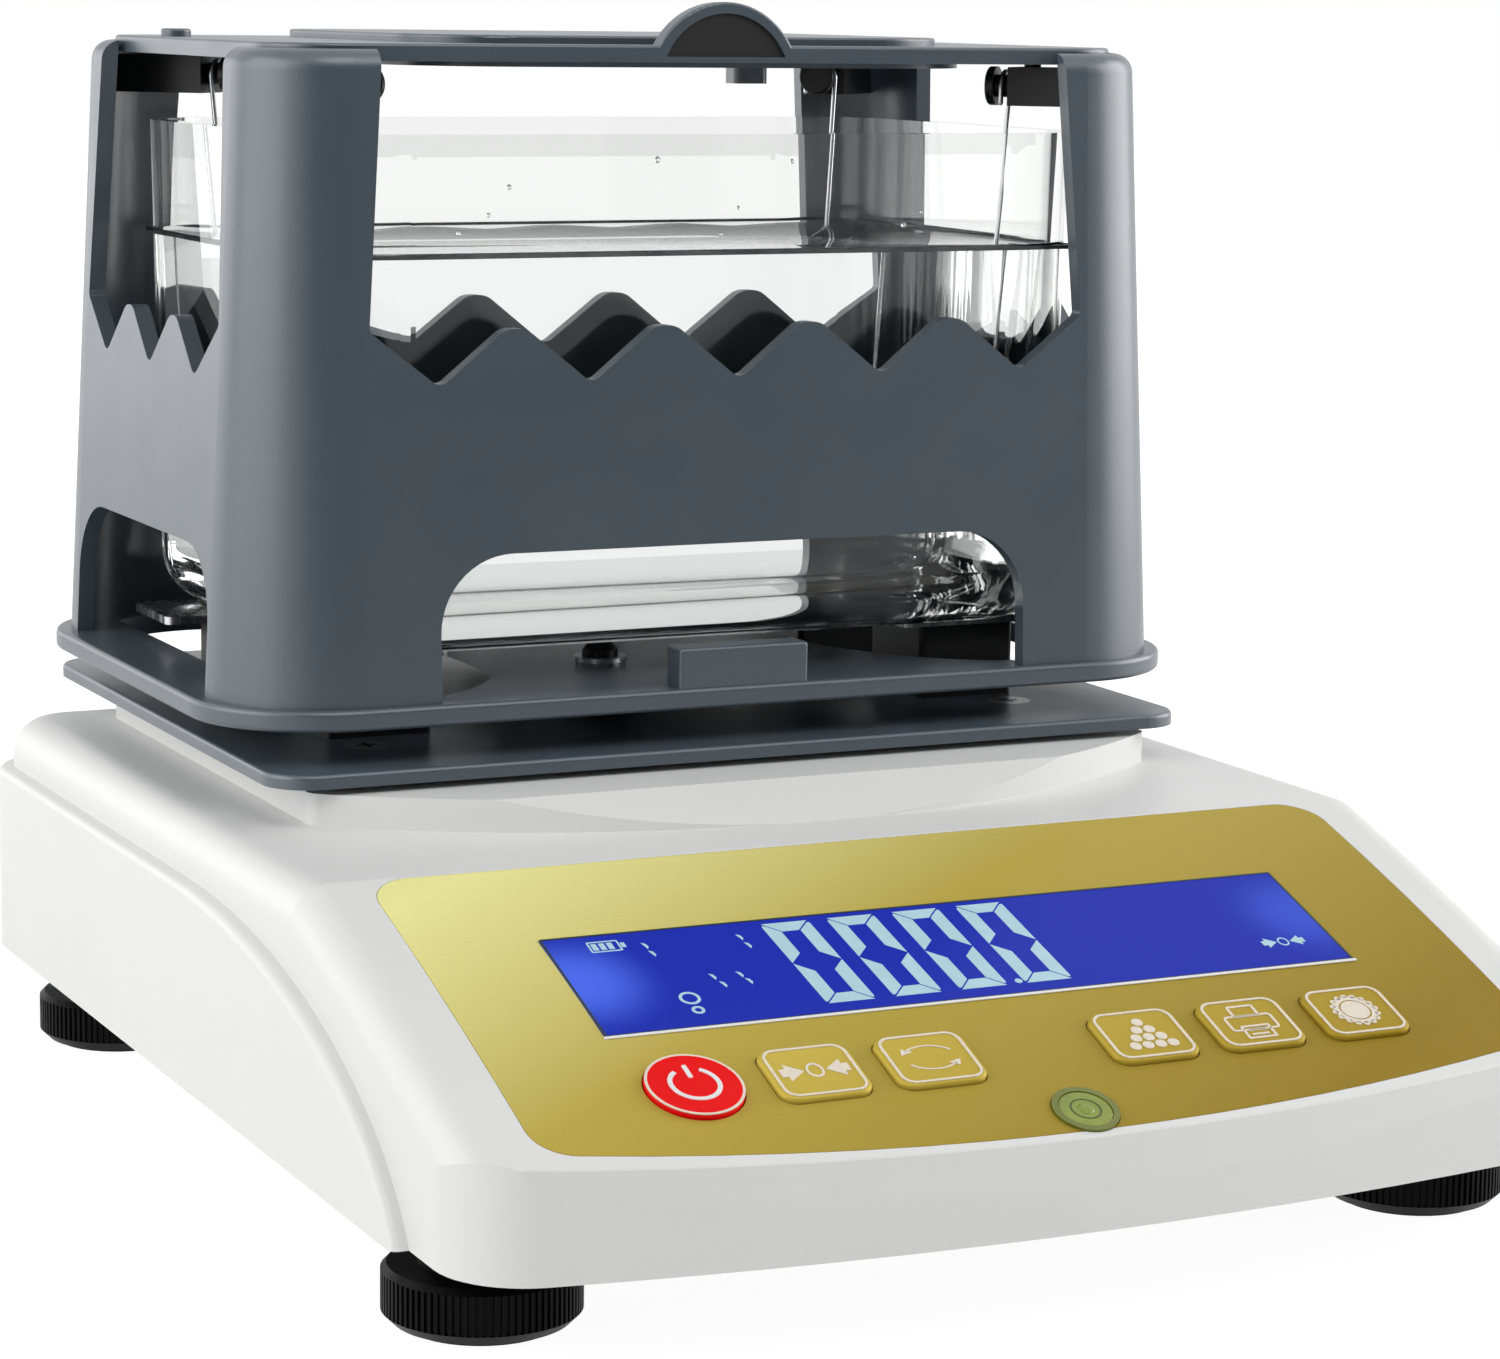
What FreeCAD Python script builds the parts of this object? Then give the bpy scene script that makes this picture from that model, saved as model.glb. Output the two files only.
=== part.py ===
import FreeCAD, Part
import math
import os

# Benchtop density meter: a white balance base, a weighed grey rack that carries a sample tray
# and a hanging basket, and a clear water tank that stands on the base through the rack.
# Millimetres. X to the right, Y to the back, Z up. The origin is on the bench, under the
# centre of the base.

V = FreeCAD.Vector
UP = V(0, 0, 1)
OVERCUT = 1.0                 # how far a cutting tool runs past the face it opens

# ---------------------------------------------------------------- base housing
base_width = 200.0            # over the side skirts
base_depth = 252.0
base_floor_z = 15.5           # underside of the housing above the bench
deck_z = 58.4                 # flat top of the housing
cover_wall = 2.6
skirt_step = 2.8              # how far the skirt stands out from the upper body
skirt_top_z = 49.5
skirt_curve_length = 103.0    # half axis of that quarter ellipse along Y
skirt_curve_z = 5.0           # height of the ellipse's centre
skirt_edge_radius = 1.4
skirt_curve_setback = 131.0   # from the front of the base to the start of that curve
front_arc_radius = 620.0      # plan curve of the upper front wall, which leans back
front_lean = 12.0             # degrees
fascia_arc_radius = 504.0     # tighter plan curve of the upright fascia below it
fascia_centre_z = 22.6        # the two meet here in the middle, and higher towards the sides
front_corner_radius = 14.0
rear_corner_radius = 12.0
shoulder_radius = 6.5         # long top edges of the sides and the back
nose_radius = 0.6             # edge between the panel and the front wall

# ---------------------------------------------------------------- sloping panel
panel_tilt = 19.25            # degrees, at the middle of the display window
panel_radius = 800.0          # slight crown of the panel, front to back
window_setback = 47.65        # from the front of the base to the middle of the display window
window_z = 47.3
window_width = 130.2
window_height = 27.25
overlay_thickness = 0.5
overlay_half_width = 85.3
overlay_top = 35.5            # above the window's middle, along the slope
overlay_bottom_middle = -48.0
overlay_bottom_side = -39.0
overlay_corner_radius = 7.0
overlay_gap = 0.1

# ---------------------------------------------------------------- keys and level
key_slope = -28.1             # middle of the key row, along the slope
key_pitch = 19.1
key_width = 15.0
key_height = 12.5
key_corner_radius = 2.6
key_proud = 0.9
key_gap = 0.2                 # around a key, in the overlay and the cover
key_travel = 0.5
key_flange = 1.2              # how far the flange reaches under the cover
key_flange_thickness = 1.0
key_seat_gap = 0.05
key_stem_diameter = 3.0
key_stem_length = 1.6
power_key_diameter = 15.0
power_key_x = -57.0
first_key_x = -37.7           # the zero key
enter_key_x = 18.1            # the keys right of the level start here
level_slope = -43.4
level_diameter = 10.4
level_depth = 7.0

# ---------------------------------------------------------------- platform and stand plate
platform_half_width = 79.0
platform_reach = 89.3         # from the rack's centre to the front of the platform
platform_arc_radius = 126.5
platform_rear_setback = 11.0  # from the back of the base
platform_top_z = 63.8
platform_corner_radius = 9.0
ramp_slope = 0.469            # rise over run of the ramp in the platform's front
rack_setback = 66.0           # from the back of the base to the middle of plate, rack and tank
stand_plate_side_inset = 6.1  # the stand plate is narrower than the rack base
stand_plate_end_reach = 4.55  # and deeper
stand_plate_bottom_z = 65.0
stand_plate_thickness = 2.4
stand_plate_corner_radius = 8.0
post_hole_diameter = 26.0     # in the cover and the stand plate, round the load post
plate_boss_diameter = 12.0
plate_screw_x = 62.0
plate_screw_y = 42.0          # from the rack's centre
plate_screw_diameter = 4.0

# ---------------------------------------------------------------- tank supports and tank
block_side_setback = 18.7     # from the tank's rim to the middle of each block
block_end_setback = 24.5
block_width = 19.0
block_depth = 20.0
strip_width = 35.0
strip_reach = 3.3             # how far each strip sticks out beyond the tank's rim
strip_thickness = 1.4
tank_bottom_z = 82.0
tank_rim_z = 170.0
tank_rim_width = 151.4
tank_rim_depth = 99.0
tank_taper = 1.5              # how much each side draws in towards the bottom
tank_corner_radius = 20.0
tank_floor_radius = 10.0
tank_wall = 3.0

# ---------------------------------------------------------------- rack
rack_side_rim = 2.9           # rack base outside the foot of the frame shell
rack_end_rim = 1.45
rack_top_z = 76.8
rack_thickness = 3.6
rack_corner_radius = 22.8
opening_x = 62.0              # middle of each oval opening in the rack base
opening_half_width = 34.0
opening_end_rim = 6.95        # from the oval's end to the edge of the rack base
opening_limit_x = 78.0        # the ovals are cut off straight here
tank_side_gap = 5.74          # from the tank's rim to the frame shell
tank_end_gap = 2.44
shell_corner_radius = 21.0
shell_top_z = 184.0
shell_draft = 2.8             # degrees
shell_wall = 3.0
shell_top_radius = 3.5
arch_half_width = 55.0        # lower arched windows, front and back
arch_top_z = 101.2
arch_radius = 13.0
side_arch_half_width = 37.5   # lower arched windows, left and right
valley_z = 129.0              # zigzag edge
peak_z = 138.4
peak_flat = 3.6               # flat on each tooth, rounded over
front_pitch = 27.2
front_valleys = 5
side_pitch = 25.2
side_valleys = 3
valley_radius = 2.2
tooth_radius = 4.0
end_rise = 12.2               # from the last valley out to the post
post_lean = 3.2               # how much the upper openings narrow up to the top
rack_stop_width = 24.4        # small upright block in the front window
rack_stop_height = 6.9
rack_stop_depth = 5.8
hub_half_width = 17.0
hub_half_depth = 33.0
hub_thickness = 4.0
rack_screw_x = 12.4
rack_screw_y = 26.5
rack_screw_diameter = 4.0
screw_head_diameter = 6.4
screw_head_height = 2.7
washer_diameter = 9.4
washer_thickness = 0.8

# ---------------------------------------------------------------- hook arms
peg_side_setback = 30.0       # from the foot of the frame shell to the face of each peg's flange
peg_end_setback = 24.5
peg_z = 178.0
peg_flange_diameter = 6.9
peg_flange_thickness = 1.6
peg_groove_diameter = 4.0
peg_groove_width = 3.0
arm_width = 8.6
arm_height = 6.8
arm_length = 40.0             # before it is trimmed to the inside of the shell
pip_diameter = 3.0

# ---------------------------------------------------------------- sample tray
tray_gap = 1.1                # to the inside of the posts
tray_bottom_z = 182.0
tray_thickness = 2.9
tray_pan_width = 101.0         # raised middle of the tray
tray_pan_depth = 84.0
tray_pan_corner = 16.0
tray_pan_height = 1.4
tray_collar_margin = 4.0      # lower step, outside the raised middle
tray_collar_height = 0.9
tray_stud_diameter = 5.3
tray_stud_height = 1.4
tray_stud_x = -74.0
tray_stud_y = 22.0            # from the rack's centre
tab_radius = 14.0
tab_rise = 10.2               # top of the tab above the tray's underside
tab_thickness = 3.6
tab_rim = 1.9
tab_inset_depth = 0.8
tab_inset_thickness = 0.4
tab_inset_bottom = 1.0        # above the tray's underside
lug_width = 7.0
lug_depth = 6.0
lug_height = 5.4
lug_x = 46.0
lug_y = 39.0                  # from the rack's centre

# ---------------------------------------------------------------- basket
wire_diameter = 1.4
hook_gap = 0.3                # between the wire and the sides of the groove
hook_rest_gap = 0.1           # between the wire and the top of the groove
hook_tail = 2.5
hanger_side_lean = 5.2        # how far the wires draw in from the sides, down to the dish
hanger_end_lean = 2.2         # and from the front and the back
dish_z = 112.0
dish_height = 7.0
dish_wall = 1.0
dish_margin = 3.0             # dish edge outside the wires
dish_corner_radius = 8.0
dish_hole_diameter = 5.0
dish_hole_pitch = 11.0
dish_hole_columns = 9
dish_hole_rows = 5
hanger_groove_gap = 0.05

# ---------------------------------------------------------------- levelling feet
foot_side_setback = 18.1      # from the sides of the base
foot_front_setback = 41.0
foot_rear_setback = 29.5
foot_diameter = 30.0
foot_pad_diameter = 24.0
foot_pad_thickness = 1.6
foot_pad_recess = 0.8         # how deep the pad sits in the wheel
foot_top_z = 9.4
foot_lower_bevel = 1.6
foot_upper_bevel = 0.9
foot_hub_diameter = 15.0
foot_hub_gap = 0.2            # between the hub and the housing when fully screwed in
stud_diameter = 6.0
stud_top_z = 30.5
thread_gap = 0.05
foot_drop = 6.0               # how far a foot can be screwed out
insert_diameter = 9.0
foot_boss_diameter = 16.0
foot_boss_top_z = 31.0

# ---------------------------------------------------------------- inside the base
tray_floor = 3.0              # base tray thickness
tray_edge_gap = 0.3
cell_length = 130.0
cell_width = 30.0
cell_height = 22.0
cell_bottom_z = 26.0
cell_end = 30.0               # length of each clamped end
cell_hole_diameter = 14.0
cell_hole_spacing = 16.0
cell_slot = 4.0
spider_thickness = 4.0
spider_boss = 2.0
post_diameter = 14.0
overload_gap = 0.5
overload_diameter = 6.0
cell_screw_diameter = 5.0
battery_size = (70.0, 47.0, 30.0)
battery_setback = 47.0        # from the left side of the base
battery_y = -2.0
board_size = (76.0, 70.0, 1.6)
board_setback = 52.0          # from the right side of the base
board_y = -8.0
board_z = 26.0
standoff_diameter = 6.0
chip_height = 3.0
processor_size = 14.0
processor_place = (-14.0, 6.0)         # from the board's centre, as the next three
converter_size = (10.0, 7.0)
converter_place = (12.0, -14.0)
connector_size = (24.0, 8.0)
connector_height = 9.0
connector_place = (10.0, 22.0)
capacitor_diameter = 8.0
capacitor_height = 12.0
capacitor_place = (24.0, 4.0)
battery_rib = 2.0
battery_rib_height = 8.0
battery_post_size = (6.0, 1.0, 4.0)
module_depth = 7.0            # display block behind the window
module_margin = 4.0
lens_thickness = 1.6
module_gap = 0.5              # between the display block and the inside of the cover
key_board_drop = 8.4          # from the panel surface to the top of the key board
key_board_thickness = 1.6
key_board_half_width = 68.0
key_board_half_depth = 7.0
switch_size = 6.0
switch_button_height = 0.4
jack_diameter = 11.0
jack_bore = 6.4
jack_x = -58.0
jack_z = 32.0
jack_depth = 15.0
port_width = 31.0
port_height = 12.6
port_x = 52.0
port_z = 32.0
port_depth = 11.0
cover_screw_board_gap = 8.0        # front screws, from the ends of the key board
cover_screw_front_setback = 20.0
cover_screw_rear_x = 28.0
cover_screw_rear_setback = 14.0
cover_screw_diameter = 3.0
cover_screw_length = 11.0     # above the base tray's floor
cover_screw_hole = 12.0
cover_screw_head_diameter = 5.7
cover_screw_head_height = 1.6
cover_boss_diameter = 8.0

# ---------------------------------------------------------------- worked out from the above
front_y = -base_depth / 2
rear_y = base_depth / 2
window_y = front_y + window_setback
rack_centre_y = rear_y - rack_setback
platform_front_y = rack_centre_y - platform_reach
platform_rear_y = rear_y - platform_rear_setback
skirt_curve_y = front_y + skirt_curve_setback
foot_x = base_width / 2 - foot_side_setback
foot_front_y = front_y + foot_front_setback
foot_rear_y = rear_y - foot_rear_setback
battery_centre = (battery_setback - base_width / 2, battery_y)
board_centre = (base_width / 2 - board_setback, board_y)
cover_screw_front = (key_board_half_width + cover_screw_board_gap, front_y + cover_screw_front_setback)
cover_screw_rear = (cover_screw_rear_x, rear_y - cover_screw_rear_setback)
body_half_width = base_width / 2 - skirt_step
body_rear_y = rear_y - skirt_step
stand_plate_top_z = stand_plate_bottom_z + stand_plate_thickness
rack_bottom_z = rack_top_z - rack_thickness
arc_centre_y = window_y + panel_radius * math.sin(math.radians(panel_tilt))
arc_centre_z = window_z - panel_radius * math.cos(math.radians(panel_tilt))
tray_floor_top_z = base_floor_z + tray_floor
cell_top_z = cell_bottom_z + cell_height
hub_bottom_z = rack_bottom_z - hub_thickness
hook_radius = peg_groove_diameter / 2 + hook_gap + wire_diameter / 2
hook_drop = hook_gap - hook_rest_gap
shell_lean_at_rim = (tank_rim_z - rack_top_z) * math.tan(math.radians(shell_draft))
shell_width = tank_rim_width + 2 * (tank_side_gap + shell_wall + shell_lean_at_rim)
shell_depth = tank_rim_depth + 2 * (tank_end_gap + shell_wall + shell_lean_at_rim)
rack_width = shell_width + 2 * rack_side_rim
rack_depth = shell_depth + 2 * rack_end_rim
opening_half_depth = rack_depth / 2 - opening_end_rim
stand_plate_width = rack_width - 2 * stand_plate_side_inset
stand_plate_depth = rack_depth + 2 * stand_plate_end_reach
peg_x = shell_width / 2 - peg_side_setback
peg_y = shell_depth / 2 - peg_end_setback
block_x = tank_rim_width / 2 - block_side_setback
block_y = tank_rim_depth / 2 - block_end_setback
strip_outer_x = tank_rim_width / 2 + strip_reach
strip_bottom_z = tank_bottom_z - strip_thickness

parts = {}


# ================================================================ drawing helpers
def on_z(z):
    return lambda a, b: V(a, b, z)


def on_y(y):
    return lambda a, b: V(a, y, b)


def on_x(x):
    return lambda a, b: V(x, a, b)


def outline(corners, plane):
    """Closed wire through (a, b, radius) corners, with round corners as arcs."""
    edges = []
    count = len(corners)
    starts = []
    ends = []
    for i in range(count):
        a, b, radius = corners[i]
        here = V(a, b, 0)
        before = V(*corners[i - 1][:2], 0) - here
        after = V(*corners[(i + 1) % count][:2], 0) - here
        if radius <= 0:
            starts.append((here, None))
            ends.append(here)
            continue
        angle = before.getAngle(after)
        reach = radius / math.tan(angle / 2)
        first = here + before.normalize() * reach
        last = here + after.normalize() * reach
        middle = (before + after).normalize()
        apex = here + middle * (radius / math.sin(angle / 2) - radius)
        starts.append((first, apex))
        ends.append(last)
    for i in range(count):
        first, apex = starts[i]
        last = ends[i]
        if apex is not None:
            arc = Part.Arc(plane(first.x, first.y), plane(apex.x, apex.y), plane(last.x, last.y))
            edges.append(arc.toShape())
        following = starts[(i + 1) % count][0]
        if (following - last).Length > 1e-6:
            edges.append(Part.makeLine(plane(last.x, last.y), plane(following.x, following.y)))
    return Part.Wire(edges)


def prism(corners, plane, direction):
    return Part.Face(outline(corners, plane)).extrude(direction)


def rectangle(half_a, half_b, radius=0.0, centre=(0.0, 0.0)):
    a, b = centre
    return [(a - half_a, b - half_b, radius), (a + half_a, b - half_b, radius),
            (a + half_a, b + half_b, radius), (a - half_a, b + half_b, radius)]


def slab(half_a, half_b, radius, centre, z_low, z_high):
    return prism(rectangle(half_a, half_b, radius, centre), on_z(z_low), V(0, 0, z_high - z_low))


def cylinder(diameter, z_low, z_high, x=0.0, y=0.0):
    return Part.makeCylinder(diameter / 2, z_high - z_low, V(x, y, z_low), UP)


def turned(points, x=0.0, y=0.0):
    """Solid of revolution about a vertical axis from (radius, z) points."""
    ring = [V(r, 0, z) for r, z in points]
    face = Part.Face(Part.makePolygon(ring + ring[:1]))
    solid = face.revolve(V(0, 0, 0), UP, 360)
    solid.translate(V(x, y, 0))
    return solid


def union(shapes):
    first, rest = shapes[0], shapes[1:]
    return first.multiFuse(rest).removeSplitter() if rest else first


def edges_where(shape, test):
    return [edge for edge in shape.Edges if test(edge)]


def is_vertical(edge):
    box = edge.BoundBox
    return box.XLength < 1e-4 and box.YLength < 1e-4


def keep(name, shape):
    parts[name] = shape


# ================================================================ the panel's own frame
def panel_place(x, slope, lift=0.0):
    """Placement on the panel: local X right, local Y up the slope, local Z out of it."""
    tilt = math.radians(panel_tilt) - slope / panel_radius
    reach = panel_radius + lift
    origin = V(x, arc_centre_y - reach * math.sin(tilt), arc_centre_z + reach * math.cos(tilt))
    return FreeCAD.Placement(origin, FreeCAD.Rotation(V(1, 0, 0), math.degrees(tilt)))


def on_panel(shape, x, slope, lift=0.0):
    placed = shape.copy()
    placed.Placement = panel_place(x, slope, lift).multiply(placed.Placement)
    return placed


def panel_height(y, inset=0.0):
    return arc_centre_z + math.sqrt((panel_radius - inset) ** 2 - (y - arc_centre_y) ** 2)


def panel_arc(lift, slope_low, slope_high):
    places = [panel_place(0, s, lift).Base for s in (slope_low, (slope_low + slope_high) / 2, slope_high)]
    return Part.Arc(*places).toShape()


def panel_layer(low, high, outline_gap):
    """The overlay's outline as a layer of the crowned panel, between two lifts."""
    reach = 60.0
    edges = [panel_arc(low, -reach, reach), panel_arc(high, -reach, reach)]
    ends = [edge.Vertexes for edge in edges]
    sides = [Part.makeLine(ends[0][i].Point, ends[1][i].Point) for i in (0, 1)]
    face = Part.Face(Part.Wire(Part.__sortEdges__(edges + sides)))
    face.translate(V(-base_width / 2, 0, 0))
    layer = face.extrude(V(base_width, 0, 0))
    half = overlay_half_width + outline_gap
    top = overlay_top + outline_gap
    side = overlay_bottom_side - outline_gap
    middle = overlay_bottom_middle - outline_gap
    curve = Part.Arc(V(-half, side, 0), V(0, middle, 0), V(half, side, 0)).toShape()
    lines = [Part.makeLine(V(half, side, 0), V(half, top, 0)),
             Part.makeLine(V(half, top, 0), V(-half, top, 0)),
             Part.makeLine(V(-half, top, 0), V(-half, side, 0))]
    thick = 30.0
    tool = Part.Face(Part.Wire([curve] + lines)).extrude(V(0, 0, thick))
    tool = tool.makeFillet(overlay_corner_radius, edges_where(tool, is_vertical))
    tool = on_panel(tool, 0, 0, -thick / 2)
    return layer.common(tool)


# ================================================================ base cover
def front_wall_y(x, inset=0.0):
    centre = front_y + fascia_arc_radius
    return centre - math.sqrt((fascia_arc_radius - inset) ** 2 - x * x)


def body_plan(inset, z_low, z_high):
    """Upper body seen from above: straight sides and back, and a front wall on an arc."""
    half = body_half_width - inset
    back = body_rear_y - inset
    corner_y = front_wall_y(half, inset)
    front = Part.Arc(V(-half, corner_y, z_low), V(0, front_y + inset, z_low), V(half, corner_y, z_low))
    lines = [Part.makeLine(V(half, corner_y, z_low), V(half, back, z_low)),
             Part.makeLine(V(half, back, z_low), V(-half, back, z_low)),
             Part.makeLine(V(-half, back, z_low), V(-half, corner_y, z_low))]
    solid = Part.Face(Part.Wire([front.toShape()] + lines)).extrude(V(0, 0, z_high - z_low))
    rear = edges_where(solid, lambda e: is_vertical(e) and e.BoundBox.YMin > 0)
    solid = solid.makeFillet(rear_corner_radius - inset, rear)
    fore = edges_where(solid, lambda e: is_vertical(e) and e.BoundBox.YMax < 0
                       and abs(e.BoundBox.XMin) > half - OVERCUT)
    return solid.makeFillet(front_corner_radius - inset, fore)


def body_section(inset, z_low):
    """Upper body seen from the side: crowned panel and flat deck, with round shoulders."""
    radius = panel_radius - inset
    top = deck_z - inset
    half = body_half_width - inset
    nose_y = front_y + inset - OVERCUT
    panel_top_y = arc_centre_y - math.sqrt(radius ** 2 - (top - arc_centre_z) ** 2)
    nose_z = panel_height(nose_y, inset)
    middle_y = (nose_y + panel_top_y) / 2
    middle_z = panel_height(middle_y, inset)
    back = body_rear_y - inset
    arc = Part.Arc(V(-half, nose_y, nose_z), V(-half, middle_y, middle_z), V(-half, panel_top_y, top))
    lines = [Part.makeLine(V(-half, panel_top_y, top), V(-half, back, top)),
             Part.makeLine(V(-half, back, top), V(-half, back, z_low)),
             Part.makeLine(V(-half, back, z_low), V(-half, nose_y, z_low)),
             Part.makeLine(V(-half, nose_y, z_low), V(-half, nose_y, nose_z))]
    solid = Part.Face(Part.Wire([arc.toShape()] + lines)).extrude(V(2 * half, 0, 0))
    rear = edges_where(solid, lambda e: is_vertical(e) and e.BoundBox.YMin > 0)
    solid = solid.makeFillet(rear_corner_radius - inset, rear)
    shoulders = edges_where(solid, lambda e: not is_vertical(e) and e.BoundBox.ZMin > z_low + OVERCUT
                            and (e.BoundBox.XLength < half or e.CenterOfMass.y > back - OVERCUT))
    return solid.makeFillet(shoulder_radius - inset, shoulders)


def front_lean_cone(inset):
    """Round solid whose front leans back like the upper front wall."""
    slope = math.tan(math.radians(front_lean))
    radius = front_arc_radius - inset / math.cos(math.radians(front_lean))
    low = base_floor_z - 2 * OVERCUT
    high = deck_z + OVERCUT
    return Part.makeCone(radius + (fascia_centre_z - low) * slope, radius - (high - fascia_centre_z) * slope,
                         high - low, V(0, front_y + front_arc_radius, low), UP)


def upper_body(inset, z_low):
    body = body_plan(inset, z_low, deck_z + OVERCUT).common(body_section(inset, z_low))
    return body.common(front_lean_cone(inset))


def skirt():
    """Lower side and rear walls, proud of the upper body, with a curved front end."""
    rise = skirt_top_z - skirt_curve_z
    ellipse = Part.Ellipse(V(0, 0, 0), skirt_curve_length, rise)
    foot_angle = math.pi - math.asin((base_floor_z - skirt_curve_z) / rise)
    curve = Part.ArcOfEllipse(ellipse, math.pi / 2, foot_angle).toShape()
    curve.rotate(V(0, 0, 0), V(1, 1, 1), 120)
    curve.translate(V(-base_width / 2, skirt_curve_y, skirt_curve_z))
    ends = sorted((v.Point for v in curve.Vertexes), key=lambda p: p.y)
    corner_top = V(ends[1].x, rear_y, skirt_top_z)
    corner_low = V(ends[1].x, rear_y, base_floor_z)
    lines = [Part.makeLine(ends[1], corner_top), Part.makeLine(corner_top, corner_low),
             Part.makeLine(corner_low, ends[0])]
    solid = Part.Face(Part.Wire([curve] + lines)).extrude(V(base_width, 0, 0))
    plan = slab(base_width / 2, base_depth / 2, rear_corner_radius + skirt_step, (0, 0),
                base_floor_z, skirt_top_z)
    solid = solid.common(plan)
    half = base_width / 2
    rim = edges_where(solid, lambda e: not is_vertical(e) and e.BoundBox.ZMax > base_floor_z + OVERCUT
                      and (abs(abs(e.CenterOfMass.x) - half) < 1e-3
                           or e.CenterOfMass.y > rear_y - 2 * skirt_step))
    return solid.makeFillet(skirt_edge_radius, rim)


def platform(inset, z_low, z_high):
    """Raised block under the stand plate, its front wall on an arc in plan."""
    half = platform_half_width - inset
    front = platform_front_y + inset
    radius = platform_arc_radius - inset
    side_y = front + radius - math.sqrt(radius ** 2 - half ** 2)
    back = platform_rear_y - inset
    curve = Part.Arc(V(-half, side_y, z_low), V(0, front, z_low), V(half, side_y, z_low)).toShape()
    lines = [Part.makeLine(V(half, side_y, z_low), V(half, back, z_low)),
             Part.makeLine(V(half, back, z_low), V(-half, back, z_low)),
             Part.makeLine(V(-half, back, z_low), V(-half, side_y, z_low))]
    solid = Part.Face(Part.Wire([curve] + lines)).extrude(V(0, 0, z_high - z_low))
    rear = edges_where(solid, lambda e: is_vertical(e) and e.BoundBox.YMin > rack_centre_y)
    solid = solid.makeFillet(platform_corner_radius - inset, rear)
    fore = edges_where(solid, lambda e: is_vertical(e) and e.BoundBox.YMin < rack_centre_y
                       and abs(e.BoundBox.XMin) > half - OVERCUT)
    solid = solid.makeFillet(skirt_step, fore)
    level_y = platform_front_y + (platform_top_z - deck_z) / ramp_slope
    start = platform_front_y - 20.0
    start_z = deck_z - inset + (start - platform_front_y) * ramp_slope
    ramp = [(start, start_z, 0), (level_y, platform_top_z - inset, 0),
            (level_y, platform_top_z + 9.0, 0), (start, platform_top_z + 9.0, 0)]
    cutter = prism(ramp, on_x(-base_width / 2), V(base_width, 0, 0))
    return solid.cut(cutter)


def key_positions():
    """Name, X and shape of each key, from left to right."""
    keys = [("power_key", power_key_x, True)]
    names = ("zero_key", "mode_key", "enter_key", "print_key", "setup_key")
    for i, name in enumerate(names):
        start = first_key_x if i < 2 else enter_key_x - 2 * key_pitch
        keys.append((name, start + i * key_pitch, False))
    return keys


def key_prism(round_key, grow, low, high):
    if round_key:
        return cylinder(power_key_diameter + 2 * grow, low, high)
    return slab(key_width / 2 + grow, key_height / 2 + grow, key_corner_radius + grow, (0, 0), low, high)


def port_prism(grow, y_low, y_high):
    """D-shaped outline of the serial port: wider above than below."""
    half_low = port_width / 2 - 8.0 + grow
    half_high = port_width / 2 - 6.6 + grow
    half_height = 4.2 + grow
    corners = [(port_x - half_low, port_z - half_height, 1.5), (port_x + half_low, port_z - half_height, 1.5),
               (port_x + half_high, port_z + half_height, 1.5), (port_x - half_high, port_z + half_height, 1.5)]
    return prism(corners, on_y(y_low), V(0, y_high - y_low, 0))


def panel_openings(through):
    """Everything that is cut through the panel: window, keys and level."""
    tools = [on_panel(slab(window_width / 2 + overlay_gap, window_height / 2 + overlay_gap, 0, (0, 0),
                           -through, through), 0, 0)]
    for _, x, round_key in key_positions():
        tools.append(on_panel(key_prism(round_key, key_gap, -through, through), x, key_slope))
    tools.append(on_panel(cylinder(level_diameter + 2 * overlay_gap, -through, through), 0, level_slope))
    return tools


def cover_boss_places():
    return [(sx * x, y) for sx in (-1, 1) for x, y in (cover_screw_front, cover_screw_rear)]


def plate_screw_places():
    return [(sx * plate_screw_x, rack_centre_y + sy * plate_screw_y) for sx in (-1, 1) for sy in (-1, 1)]


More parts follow.
